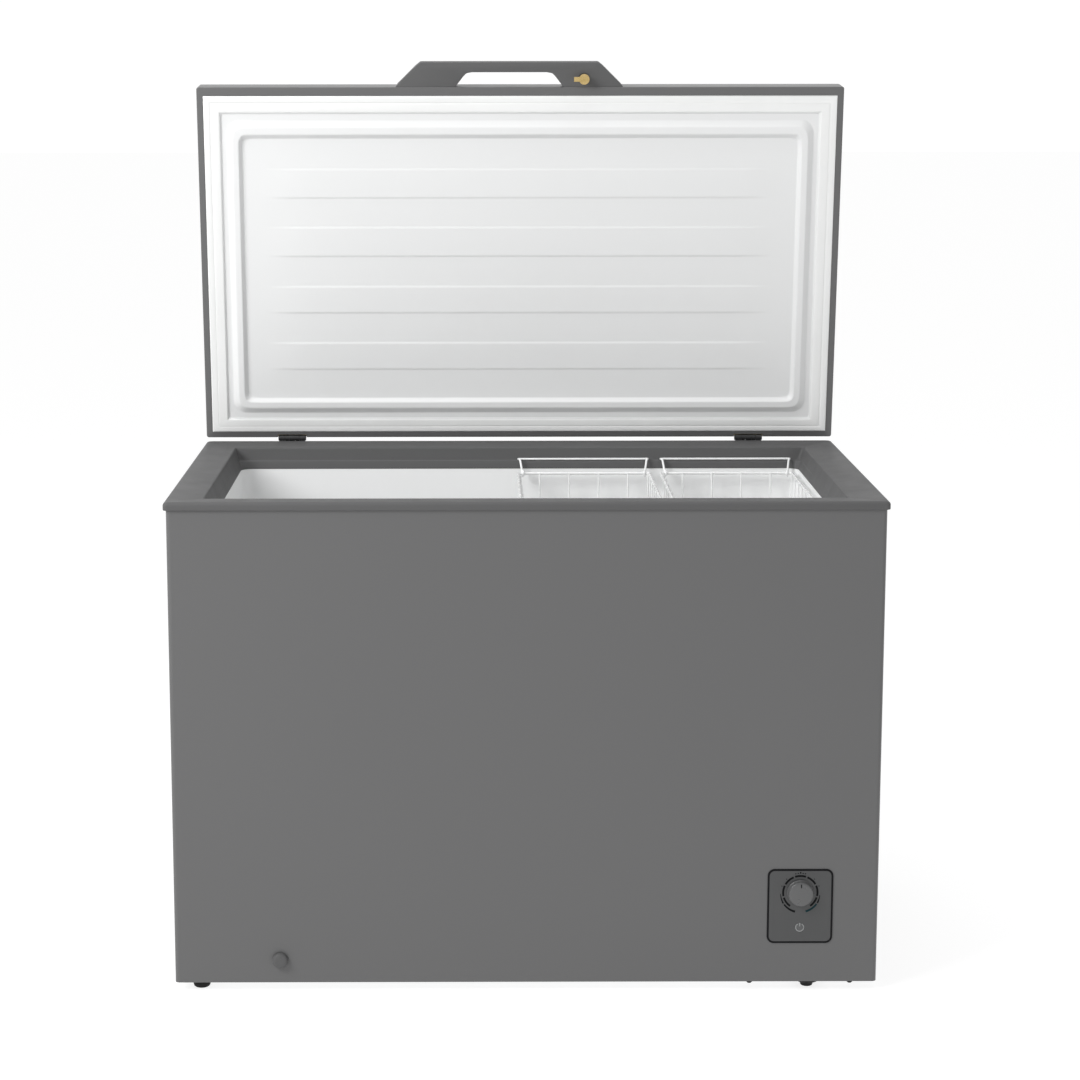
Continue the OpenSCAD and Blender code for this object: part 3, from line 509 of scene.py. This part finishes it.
# ------------------------------------------------------------------ cabinet: food liner with radiused corners
Z_LIP, Z_FLOOR, Z_STEP, X_STEP = ZT - 40.0, 75.0, 320.0, 270.0
lx = [(-XL, Z_LIP), (-XL, Z_FLOOR), (X_STEP, Z_FLOOR), (X_STEP, Z_STEP), (XL, Z_STEP), (XL, Z_LIP)]
bm = bmesh.new()
front = [bm.verts.new((x, WALL, z)) for x, z in lx]
rear = [bm.verts.new((x, D - WALL, z)) for x, z in lx]
bm.faces.new(front)
bm.faces.new(rear[::-1])
for k in range(6):
    bm.faces.new((front[k], rear[k], rear[(k + 1) % 6], front[(k + 1) % 6]))
bmesh.ops.recalc_face_normals(bm, faces=bm.faces)
soft = [e for e in bm.edges if not all(abs(v.co.z - Z_LIP) < 0.01 for v in e.verts)]
bmesh.ops.bevel(bm, geom=soft, offset=19.5, offset_type="OFFSET", segments=7, profile=0.5, affect="EDGES", clamp_overlap=True)
top = [f for f in bm.faces if all(abs(v.co.z - Z_LIP) < 0.01 for v in f.verts)]
bmesh.ops.delete(bm, geom=top, context="FACES_ONLY")
# the open sheet gets its thickness outwards
for f in bm.faces:
    f.normal_flip()
inner = {v: v.co.copy() for v in bm.verts}
bm.normal_update()
res = bmesh.ops.solidify(bm, geom=bm.faces[:], thickness=0.8)
me = bpy.data.meshes.new("food_liner")
bm.to_mesh(me)
bm.free()
m = Mesh()
m.v = [tuple(v.co) for v in me.vertices]
m.f = [tuple(p.vertices) for p in me.polygons]
m.m = [0] * len(m.f)
bpy.data.meshes.remove(me)
liner = make("food_liner", m, base, [M["white_liner"]], "cabinet", ["inner_liner"], angle=40)
lp_lo, lp_hi = box_mm("liner_plug")
lpx, lpy = (lp_lo[0] + lp_hi[0]) / 2, (lp_lo[1] + lp_hi[1]) / 2
cut(liner, [drum_cut((lpx, lpy, Z_FLOOR), 2, 9.0, -4, 4, base)], angle=40)

# ------------------------------------------------------------------ cabinet: control panel
cp_lo, cp_hi = box_mm("control_panel")
PX, PZ = (cp_lo[0] + cp_hi[0]) / 2, (cp_lo[2] + cp_hi[2]) / 2
PW, PH = (cp_hi[0] - cp_lo[0]) / 2, (cp_hi[2] - cp_lo[2]) / 2
kn_lo, kn_hi = box_mm("thermostat_knob")
KX, KZ, KY = (kn_lo[0] + kn_hi[0]) / 2, (kn_lo[2] + kn_hi[2]) / 2, kn_hi[1]
lm_lo, lm_hi = box_mm("power_lamp")
LX, LZ = (lm_lo[0] + lm_hi[0]) / 2, (lm_lo[2] + lm_hi[2]) / 2


def panel_loop(i, y, r):
    return [(x, y, z) for x, z in rrect(PX - PW + i, PX + PW - i, PZ - PH + i, PZ + PH - i, r, 10)]


m = Mesh()
loops = [(0.0, 3.95, 11.0), (0.0, 3.0, 11.0), (0.15, 2.62, 10.9), (0.55, 2.42, 10.5), (1.9, 2.40, 9.2), (2.3, 2.52, 8.8),
         (2.5, 2.95, 8.6), (3.0, 3.02, 8.3), (3.6, 2.92, 8.0), (9.0, 2.86, 5.0)]
ids = m.skin([panel_loop(*l) for l in loops], mat=[0, 0, 0, 0, 0, 0, 0, 1, 1], caps=False)
m.cap(ids[0], 0)
m.cap(ids[-1], 1)
panel = make("control_plate", m, base, [M["panel_edge"], M["panel_plastic"]], "cabinet", ["control_panel"], angle=40)
cut(panel, [drum_cut((KX, 0, KZ), 1, 4.6, -5, 8, base), drum_cut((LX, 0, LZ), 1, 8.0, -5, 8, base)], angle=40)


def flat_arc(mesh, cx, cz, r0, r1, a0, a1, y0, y1, n=None, taper=None, mat=0):
    """A thin raised arc on the front; taper gives the outer radius at its far end."""
    n = n or max(3, int(abs(a1 - a0) / 4))
    rows = []
    for k in range(n + 1):
        u = k / n
        a = math.radians(a0 + (a1 - a0) * u)
        ro = r1 if taper is None else r1 + (taper - r1) * u
        c, s = math.cos(a), math.sin(a)
        rows.append([(cx + r0 * c, y1, cz + r0 * s), (cx + r0 * c, y0, cz + r0 * s),
                     (cx + ro * c, y0, cz + ro * s), (cx + ro * c, y1, cz + ro * s)])
    mesh.skin(rows, mat=mat)


dial = Mesh()
for k in range(7):   # broken ring round the knob, open below
    a0 = 306 + k * 42.0
    flat_arc(dial, KX, KZ, 25.5, 28.5, a0, a0 + 36.5, 2.60, 3.0)
flat_arc(dial, KX, KZ, 30.6, 31.3, 184, 214, 2.60, 3.0, taper=33.0)
flat_arc(dial, KX, KZ, 30.6, 33.0, 218, 256, 2.60, 3.0, taper=33.9)
flat_arc(dial, KX, KZ, 30.6, 33.2, 328, 352, 2.60, 3.0, taper=31.2)
for a in (76, 83, 90, 97, 104):
    flat_arc(dial, KX, KZ, 30.8, 33.6 if a == 90 else 32.2, a - 1.6, a + 1.6, 2.60, 3.0, n=2)
for a in (20, 45, 135, 160):
    flat_arc(dial, KX, KZ, 30.2, 31.6, a - 1.2, a + 1.2, 2.60, 3.0, n=2)
make("dial_marks", dial, base, [M["print_dark"]], "cabinet")
dial = Mesh()
flat_arc(dial, KX, KZ, 30.6, 33.9, 286, 324, 2.60, 3.0, taper=33.2)
make("dial_marks_cold", dial, base, [M["print_teal"]], "cabinet")

# lens with a power mark
m = Mesh()
prof = [(7.9, 16.0), (7.9, 2.95), (7.75, 2.72), (7.3, 2.62), (3.0, 2.60)]
m.skin([[(LX + r * math.cos(2 * math.pi * k / 40), y, LZ + r * math.sin(2 * math.pi * k / 40)) for k in range(40)]
        for r, y in prof])
make("lamp_lens_disc", m, base, [M["lamp_lens"]], "cabinet", ["power_lamp"], angle=40)
m = Mesh()
flat_arc(m, LX, LZ, 5.5, 7.1, 122, 418, 2.42, 2.7, n=36)
v = [(LX + x, y, LZ + z) for x, z in ((-0.85, 1.6), (0.85, 1.6), (0.85, 7.3), (-0.85, 7.3)) for y in (2.42, 2.7)]
i = m.loop(v)
for f in ((0, 2, 4, 6), (7, 5, 3, 1), (0, 1, 3, 2), (2, 3, 5, 4), (4, 5, 7, 6), (6, 7, 1, 0)):
    m.cap([i[q] for q in f])
make("power_mark", m, base, [M["print_light"]], "cabinet")

# ------------------------------------------------------------------ knob
kr = (kn_hi[0] - kn_lo[0]) / 2
kh = KY - kn_lo[1]
prof = [(4.0, 0.0), (kr - 0.6, 0.0), (kr, 0.5), (kr, 1.9), (kr - 0.3, 2.4), (kr - 0.75, 2.7), (kr - 0.95, 3.4),
        (kr - 1.5, kh - 3.2), (kr - 1.8, kh - 2.1), (kr - 2.5, kh - 1.25), (kr - 3.7, kh - 0.85), (kr - 5.5, kh - 0.62),
        (kr - 9.0, kh - 0.34), (kr - 14.0, kh - 0.12), (2.0, kh - 0.02)]
m = Mesh()
N = 96
loops = []
for j, (r, h) in enumerate(prof):
    row = []
    for k in range(N):
        a = 2 * math.pi * k / N
        rr_ = r
        if 6 <= j <= 7:   # fine grip flutes on the side
            rr_ = r - 0.22 * (0.5 - 0.5 * math.cos(24 * a))
        row.append((KX + rr_ * math.cos(a), KY - h, KZ + rr_ * math.sin(a)))
    loops.append(row)
m.skin(loops)
knob = make("dial_knob", m, base, [M["knob_plastic"]], "knob", ["thermostat_knob"], angle=38)
m = Mesh()
for z0_, z1_, w_, y_ in ((11.0, 16.6, 0.7, kh - 0.12),):
    pts = round_poly([(-w_, z0_), (w_, z0_), (w_, z1_), (-w_, z1_)], [0.6] * 4, 4)
    m.skin([[(KX + x, KY - y_ + 0.9, KZ + z) for x, z in pts], [(KX + x, KY - y_ - 0.05, KZ + z) for x, z in pts]])
make("knob_pointer", m, base, [M["print_dark"]], "knob", angle=30)

# ------------------------------------------------------------------ drain plug
dp_lo, dp_hi = box_mm("drain_plug")
DX, DZ = (dp_lo[0] + dp_hi[0]) / 2, (dp_lo[2] + dp_hi[2]) / 2
prof = [(6.6, 18.4), (6.6, 4.0), (7.0, 3.2), (11.6, 3.1), (12.4, 2.7), (12.5, 1.8), (12.4, -0.6), (12.0, -2.3), (11.2, -3.6),
        (9.9, -4.5), (8.2, -4.95), (5.0, -5.12), (1.0, -5.17)]
m = Mesh()
m.skin([[(DX + r * math.cos(2 * math.pi * k / 56), y, DZ + r * math.sin(2 * math.pi * k / 56)) for k in range(56)]
        for r, y in prof])
make("drain_cap", m, base, [M["rim_plastic"]], "drain_plug", ["drain_plug"], angle=40)

# ------------------------------------------------------------------ feet
for node, radii in (("feet_left", [(10.2, 0.0), (11.0, 0.3), (12.6, 1.6), (13.3, 3.4), (13.8, 6.0), (14.0, 9.0), (14.0, 15.0)]),
                    ("feet_right", [(8.6, 0.0), (9.3, 0.5), (9.9, 1.8), (10.4, 4.6), (11.4, 6.2), (14.2, 7.4), (18.6, 9.0),
                                    (20.8, 10.6), (21.5, 12.2), (21.5, 15.0)])):
    lo, hi = box_mm(node)
    fx = (lo[0] + hi[0]) / 2
    m = Mesh()
    for fy in (lo[1] + radii[-1][0], hi[1] - radii[-1][0]):
        m.skin([[(fx + r * math.cos(2 * math.pi * k / 48), fy + r * math.sin(2 * math.pi * k / 48), z) for k in range(48)]
                for r, z in radii])
    make(node + "_moulded", m, base, [M["rubber_black"]], "cabinet", [node], angle=40)

# ------------------------------------------------------------------ hinges: open sleeve over each spring
for side, hx in (("left", HINGE_X[0]), ("right", HINGE_X[1])):
    m = Mesh()
    rows = []
    for k in range(37):
        a = math.radians(78.0 + 184.0 * k / 36)
        c, s_ = math.cos(a), math.sin(a)
        rows.append([(hx - 5.2, HY + 5.2 * c, HZ + 5.2 * s_), (hx - 5.2, HY + 5.9 * c, HZ + 5.9 * s_),
                     (hx - 4.9, HY + 6.2 * c, HZ + 6.2 * s_), (hx + 4.9, HY + 6.2 * c, HZ + 6.2 * s_),
                     (hx + 5.2, HY + 5.9 * c, HZ + 5.9 * s_), (hx + 5.2, HY + 5.2 * c, HZ + 5.2 * s_)])
    m.skin(rows)
    make("hinge_sleeve_" + side, m, base, [M["hinge_black"]], "cabinet", angle=40)

# ------------------------------------------------------------------ lid: pressed shell
lip = (11.0, 14.8, 10.6)
out = [(lip, ZL + 1.2, 3.0), (lip, ZL + 0.25, 3.0), ((10.8, 14.6, 10.4), ZL, 3.2), (1.9, ZL, 2.2), (1.1, ZL + 0.12, 2.9),
       (0.5, ZL + 0.5, 3.5), (0.12, ZL + 1.1, 3.9), (0.0, ZL + 1.9, 4.0), (0.0, ZL + 24.0, 4.0), (0.0, ZL + LID_T - 12.0, 4.0)]
out += [(12 - 12 * math.cos(math.radians(a)), ZL + LID_T - 12 + 12 * math.sin(math.radians(a)), 4 + 8.0 * a / 90)
        for a in (10, 20, 30, 40, 50, 60, 70, 80, 90)]
inn = [((10.8, 14.6, 10.4), ZL + 1.2, 3.0), (1.9, ZL + 1.2, 2.1), (1.2, ZL + 2.0, 2.8), (1.2, ZL + LID_T - 12.0, 2.8)]
inn += [(12 - 10.8 * math.cos(math.radians(a)), ZL + LID_T - 12 + 10.8 * math.sin(math.radians(a)), 3 + 8.0 * a / 90)
        for a in (20, 40, 60, 80, 90)]
m = Mesh()
m.skin([inset(i, z, r, 10) for i, z, r in inn[::-1] + out])
lid = make("lid_outer_pressing", m, lidx, [M["grey_paint"]], "lid", ["lid_shell"], angle=40)
cut(lid, [box_cut(h - 25.5, h + 25.5, D - 5.4, D + 5, ZL - 5, HZ + 7.2, lidx) for h in HINGE_X], angle=40)

# ------------------------------------------------------------------ lid: moulded inner panel as one height field


def sd_rrect(x, y, s, f, b, r):
    """Signed distance inwards from a rounded rectangle given by its insets."""
    cx, cy = 0.0, (f + D - b) / 2
    hx, hy = W / 2 - s - r, (D - b - f) / 2 - r
    qx, qy = np.abs(x - cx) - hx, np.abs(y - cy) - hy
    outside = np.hypot(np.maximum(qx, 0), np.maximum(qy, 0))
    inside = np.minimum(np.maximum(qx, qy), 0)
    return -(outside + inside - r)


def smooth(u):
    u = np.clip(u, 0, 1)
    return u * u * (3 - 2 * u)


def spaced(segments):
    out = []
    for a, b, step in segments:
        n = max(1, int(round((b - a) / step)))
        out += [a + (b - a) * k / n for k in range(n)]
    out.append(segments[-1][1])
    return np.array(sorted(set(np.round(out, 4))))


BANDS = ((142, 192), (244, 295), (349, 396), (450, 498))
h_ = W / 2
gx = spaced([(-h_ + 11.4, -h_ + 38.6, 9), (-h_ + 38.6, -h_ + 42.2, 0.6), (-h_ + 42.2, -h_ + 47, 2.4), (-h_ + 47, -h_ + 80, 1.1),
             (-h_ + 80, -h_ + 180, 8), (-h_ + 180, h_ - 180, 22), (h_ - 180, h_ - 80, 8), (h_ - 80, h_ - 47, 1.1),
             (h_ - 47, h_ - 42.2, 2.4), (h_ - 42.2, h_ - 38.6, 0.6), (h_ - 38.6, h_ - 11.4, 9)])
ysegs = [(15.2, 43.4, 9), (43.4, 47.2, 0.6), (47.2, 54, 2.4), (54, 92, 1.1)]
at = 92.0
for e in sorted([e for b in BANDS for e in b]):
    ysegs += [(at, e - 3.6, 9), (e - 3.6, e + 3.6, 0.8)]
    at = e + 3.6
ysegs += [(at, D - 75, 6), (D - 75, D - 42, 1.1), (D - 42, D - 36.4, 2.4), (D - 36.4, D - 32.4, 0.6), (D - 32.4, D - 11, 9)]
gy = spaced(ysegs)
X, Y = np.meshgrid(gx, gy)
step = sd_rrect(X, Y, 40, 45, 34, 3)
d0 = sd_rrect(X, Y, 49, 56, 44, 24)
d3 = sd_rrect(X, Y, 77, 89, 72, 9)
t = np.where(d3 > 0, 1.0, np.clip(d0, 0, None) / np.maximum(np.clip(d0, 0, None) - np.minimum(d3, 0), 1e-6))
def crisp(u, e=0.16):
    """Straight flank with small rounded ends."""
    u = np.clip(u, 0, 1)
    k = 1.0 / (1.0 - e)
    return np.where(u < e, k * u * u / (2 * e), np.where(u > 1 - e, 1 - k * (1 - u) ** 2 / (2 * e), k * (u - e / 2)))


prof = np.where(t < 0.42, crisp(t / 0.42), np.where(t < 0.74, 1.0, crisp((1 - t) / 0.26)))
Z = ZF - BEAD * prof
Z = np.where(step < 1.2, ZG + (ZF - ZG) * smooth(step / 1.2), Z)
fade = smooth((425 + 26 - np.abs(X)) / 70.0)
emb = np.zeros_like(X)
for b0, b1 in BANDS:
    emb = np.maximum(emb, smooth((Y - b0 + 2.2) / 4.4) * smooth((b1 + 2.2 - Y) / 4.4))
Z = Z - 1.25 * emb * fade
# the panel bows out a little between its beads
Z = Z - 0.8 * smooth(d3 / 120.0)
ny, nx = X.shape
m = Mesh()
for j in range(ny):
    m.loop([(X[j, i], Y[j, i], Z[j, i]) for i in range(nx)])
for j in range(ny - 1):
    for i in range(nx - 1):
        a = j * nx + i
        m.cap((a, a + 1, a + nx + 1, a + nx))
rim_ids = [i for i in range(nx)] + [j * nx + nx - 1 for j in range(1, ny)] + \
    [(ny - 1) * nx + i for i in range(nx - 2, -1, -1)] + [j * nx for j in range(ny - 2, 0, -1)]
back = m.loop([(m.v[i][0], m.v[i][1], ZF + 1.5) for i in rim_ids])
m.bridge(rim_ids, back)
m.cap(back[::-1])
make("lid_inner_panel", m, lidx, [M["lid_white_painted_shade"]], "lid", ["lid_liner"], angle=50)

# ------------------------------------------------------------------ lid: seal with mitred corners
o_, i_ = np.array([11.3, 15.1, 10.9]), np.array([39.0, 43.8, 33.0])
gprof = [(0.0, ZG), (0.0, ZL - 0.2), (0.02, ZL - 0.75), (0.06, ZL - 1.15), (0.12, ZL - 1.35), (0.20, ZL - 1.38), (0.30, ZL - 1.25),
         (0.37, ZL - 0.85), (0.40, ZL - 0.35), (0.43, ZL - 0.30), (0.46, ZL - 0.75), (0.52, ZL - 0.95), (0.82, ZL - 0.80),
         (0.93, ZL - 0.45), (0.98, ZL + 0.2), (1.0, ZL + 0.9), (1.0, ZG)]
m = Mesh()
loops = []
for u, z in gprof:
    s, f, b = o_ + (i_ - o_) * u
    x0, x1, y0, y1 = -h_ + s, h_ - s, f, D - b
    loops.append([(x1, y0, z), (x1, y1, z), (x0, y1, z), (x0, y0, z)])
m.skin(loops, wrap=True)
make("lid_seal", m, lidx, [M["white_seal"]], "lid", ["lid_gasket"], angle=30)

# ------------------------------------------------------------------ lid: handle
HM = -19.0
outline = [(HM + 196, 0.3), (HM + 93, 0.3), (HM + 90, -4), (HM + 80, -17), (HM + 74, -23.5), (HM + 64, -25.2), (HM - 64, -25.2),
           (HM - 74, -23.5), (HM - 80, -17), (HM - 90, -4), (HM - 93, 0.3), (HM - 196, 0.3), (HM - 192, -5), (HM - 161, -35.6),
           (HM - 153, -42), (HM + 153, -42), (HM + 161, -35.6), (HM + 192, -5)]
radii = [0, 0, 4, 10, 9, 9, 9, 9, 10, 4, 0, 0, 3, 6, 6, 6, 6, 3]


def shrink(poly, d):
    """Moves each point of a closed outline inwards by d."""
    n = len(poly)
    p = np.array(poly, float)
    area = 0.5 * sum(p[i][0] * p[(i + 1) % n][1] - p[(i + 1) % n][0] * p[i][1] for i in range(n))
    sgn = 1.0 if area > 0 else -1.0
    res = []
    for i in range(n):
        e0, e1 = p[i] - p[i - 1], p[(i + 1) % n] - p[i]
        e0, e1 = e0 / max(np.linalg.norm(e0), 1e-9), e1 / max(np.linalg.norm(e1), 1e-9)
        n0, n1 = np.array([-e0[1], e0[0]]) * sgn, np.array([-e1[1], e1[0]]) * sgn
        b = n0 + n1
        b /= max(np.linalg.norm(b), 1e-6)
        res.append(tuple(p[i] + b * d / max(0.5, float(b @ n0))))
    return res


poly = round_poly(outline, radii, 5)
z0_, z1_ = ZL + 1.0, ZL + 27.0
loops = []
for d, z in ((1.3, z0_), (0.6, z0_ + 0.2), (0.2, z0_ + 0.6), (0.0, z0_ + 1.3), (0.0, z1_ - 1.7), (0.25, z1_ - 0.8), (0.75, z1_ - 0.25),
             (1.7, z1_)):
    loops.append([(x, min(y, 0.3), z) for x, y in shrink(poly, d)])
m = Mesh()
m.skin(loops)
handle = make("lid_grip", m, lidx, [M["rim_plastic"]], "lid", ["lid_handle"], angle=42)
lk_lo, lk_hi = box_mm("lock_housing")
cut(handle, [drum_cut((109.0, -15.0, ZL), 2, 9.0, -10, 40, lidx)], angle=42)

# ------------------------------------------------------------------ baskets: welded round wire
RZ, RY0, RY1, RR, WR = ZT - 45.0, 90.0, D - 90.0, 2.5, 1.3
BW, BH = 235.0, 205.0


def ring_path(x0, x1, y0, y1, z, r, n=6):
    return [(x, y, z) for x, y in rrect(x0, x1, y0, y1, r, n)]


def densify(path, step=40.0):
    """Adds points along the long straight runs so the sweep keeps its frame."""
    out = []
    n = len(path)
    for i in range(n):
        a, b = np.array(path[i], float), np.array(path[(i + 1) % n], float)
        k = max(1, int(np.linalg.norm(b - a) / step))
        out += [tuple(a + (b - a) * j / k) for j in range(k)]
    return out


for side, bc in (("left", -6 + BW / 2), ("right", 244 + BW / 2)):
    x0, x1, zb = bc - BW / 2, bc + BW / 2, RZ - BH
    m = Mesh()
    tube(m, densify(ring_path(x0 + RR, x1 - RR, RY0, RY1, RZ, 8.0)), RR, m=14, closed=True)
    ix, iy = 5.2, 3.4              # inset of the thin wires from the top wire's line
    wx0, wx1, wy0, wy1 = x0 + ix + WR, x1 - ix - WR, RY0 + iy, RY1 - iy
    for k, x in enumerate((-77.1, -25.7, 25.7, 77.1)):      # long wires, down one end, along the floor, up the other
        path = bend([(bc + x, wy0, RZ + 0.9), (bc + x, wy0, zb), (bc + x, wy1, zb), (bc + x, wy1, RZ + 0.9)], 16, 7)
        tube(m, path, WR, m=10)
    for k in range(10):                                      # cross wires
        y = RY0 + 26 + (RY1 - RY0 - 52) * k / 9
        path = bend([(wx0, y, RZ + 0.9), (wx0, y, zb + 2 * WR - 0.3), (wx1, y, zb + 2 * WR - 0.3), (wx1, y, RZ + 0.9)], 16, 7)
        tube(m, path, WR, m=10)
    for dz, extra in ((64, 0.0), (118, 0.0), (168, 0.0)):    # bands round the basket
        g = 2 * WR - 0.3
        tube(m, densify(ring_path(wx0 - g + 0.0, wx1 + g, wy0 - 0.0 - g + 2.3 * 0, wy1 + g, RZ - dz, 11.0)), WR, m=10, closed=True)
    make("basket_%s_wires" % side, m, base, [M["white_wire"]], "basket_" + side, ["basket_" + side], angle=60)

    for end, s, ye in (("front", -1, RY0), ("rear", 1, RY1)):
        l, e, r = BW / 2 - 10.5, BW / 2 - 2, 1.9
        rad = RR + 0.1 + r - 0.15
        kz = 22.5
        phi, dist = math.atan2(kz, 17.0), math.hypot(kz, 17.0)
        a1 = phi - math.acos(rad / dist)
        half = []
        for k in range(25):
            a = a1 - math.radians(325.0 * (24 - k) / 24)
            half.append((l - 1.9 * (24 - k) / 24 + 0.0, s * rad * math.cos(a), rad * math.sin(a)))
        tail = bend([half[-1], ((l + e) / 2, s * 17.0, kz), (e, s * 26.0, 21.5), (0.0, s * 26.0, 21.5)], [5.0, 5.5], 6)
        half = half[:-1] + tail
        # the middle of the bar is shared by both halves
        path = [(bc - x, ye + y, RZ + z) for x, y, z in half[:-1]] + [(bc + x, ye + y, RZ + z) for x, y, z in half[::-1]]
        m = Mesh()
        tube(m, path, r, m=12)
        name = "hanger_%s_%s" % (side, end)
        make(name + "_wire", m, base, [M["white_wire"]], name, [name], angle=60)

# ------------------------------------------------------------------ staging
scene = bpy.context.scene
me = bpy.data.meshes.new("floor")
R_ = 40.0
me.from_pydata([(-R_, -R_, 0), (R_, -R_, 0), (R_, R_, 0), (-R_, R_, 0)], [], [(0, 1, 2, 3)])
floor = bpy.data.objects.new("floor", me)
scene.collection.objects.link(floor)
mat = bpy.data.materials.new("floor_pale")
mat.use_nodes = True
nt = mat.node_tree
bs = nt.nodes["Principled BSDF"]
bs.inputs["Base Color"].default_value = (0.30, 0.30, 0.30, 1)
bs.inputs["Roughness"].default_value = 0.9
bs.inputs["Specular IOR Level"].default_value = 0.0
bs.inputs["Emission Color"].default_value = (1, 1, 1, 1)
bs.inputs["Emission Strength"].default_value = 0.82
me.materials.append(mat)
floor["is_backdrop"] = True

world = bpy.data.worlds.new("studio")
scene.world = world
world.use_nodes = True
nt = world.node_tree
bg = nt.nodes["Background"]
tc = nt.nodes.new("ShaderNodeTexCoord")
sep = nt.nodes.new("ShaderNodeSeparateXYZ")
nt.links.new(tc.outputs["Generated"], sep.inputs[0])
rp = nt.nodes.new("ShaderNodeValToRGB")
rp.color_ramp.elements[0].position, rp.color_ramp.elements[0].color = 0.62, (0.45, 0.45, 0.45, 1)
rp.color_ramp.elements[1].position, rp.color_ramp.elements[1].color = 0.92, (1.02, 1.02, 1.02, 1)
mr = nt.nodes.new("ShaderNodeMapRange")
mr.inputs["From Min"].default_value, mr.inputs["From Max"].default_value = -1.0, 1.0
nt.links.new(sep.outputs["Y"], mr.inputs["Value"])
nt.links.new(mr.outputs[0], rp.inputs[0])
nt.links.new(rp.outputs[0], bg.inputs["Color"])
bg.inputs["Strength"].default_value = 1.0


def area(name, at, to, size, power):
    l = bpy.data.lights.new(name, "AREA")
    l.shape, l.size, l.size_y, l.energy = "RECTANGLE", size[0], size[1], power
    o = bpy.data.objects.new(name, l)
    scene.collection.objects.link(o)
    o.location = at
    o.rotation_mode = "QUATERNION"
    o.rotation_quaternion = (Vector(to) - Vector(at)).to_track_quat("-Z", "Y")
    return o


area("key", (-2.4, -1.9, 2.6), (-0.1, 0.0, 0.7), (1.6, 1.6), 88.0)
area("softbox", (-2.3, -5.6, 1.0), (-0.3, 0.0, 0.7), (3.4, 2.6), 6.0)
area("top", (0.0, -0.2, 3.8), (0.0, -0.05, 0.7), (2.4, 1.4), 30.0)

# ------------------------------------------------------------------ camera
F_PX, CX, CY = 2386.25, 480.0, 440.0
pitch, yaw, roll = math.radians(8.75), math.radians(-0.16), math.radians(-0.06)
Rv = Vector((math.cos(yaw), math.sin(yaw), 0))
Hv = Vector((-math.sin(yaw), math.cos(yaw), 0))
Zv = Vector((0, 0, 1))
Fv = Hv * math.cos(pitch) - Zv * math.sin(pitch)
Uv = Hv * math.sin(pitch) + Zv * math.cos(pitch)
R2 = Rv * math.cos(roll) + Uv * math.sin(roll)
U2 = Uv * math.cos(roll) - Rv * math.sin(roll)
cam = bpy.data.cameras.new("camera")
cam.sensor_width = 36.0
cam.lens = F_PX * 36.0 / 1080.0
cam.shift_x = (540.0 - CX) / 1080.0
cam.shift_y = (CY - 540.0) / 1080.0
cam.clip_start, cam.clip_end = 0.1, 200.0
co = bpy.data.objects.new("camera", cam)
scene.collection.objects.link(co)
mx = Matrix((R2, U2, -Fv)).transposed().to_4x4()
mx.translation = Vector((-0.0816, (-3589.8 - YM) / 1000.0, (648.88 + ZT) / 1000.0))
co.matrix_world = mx
scene.camera = co
scene.view_settings.view_transform = "Standard"
scene.view_settings.look = "None"

bpy.context.view_layer.update()
lo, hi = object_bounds()
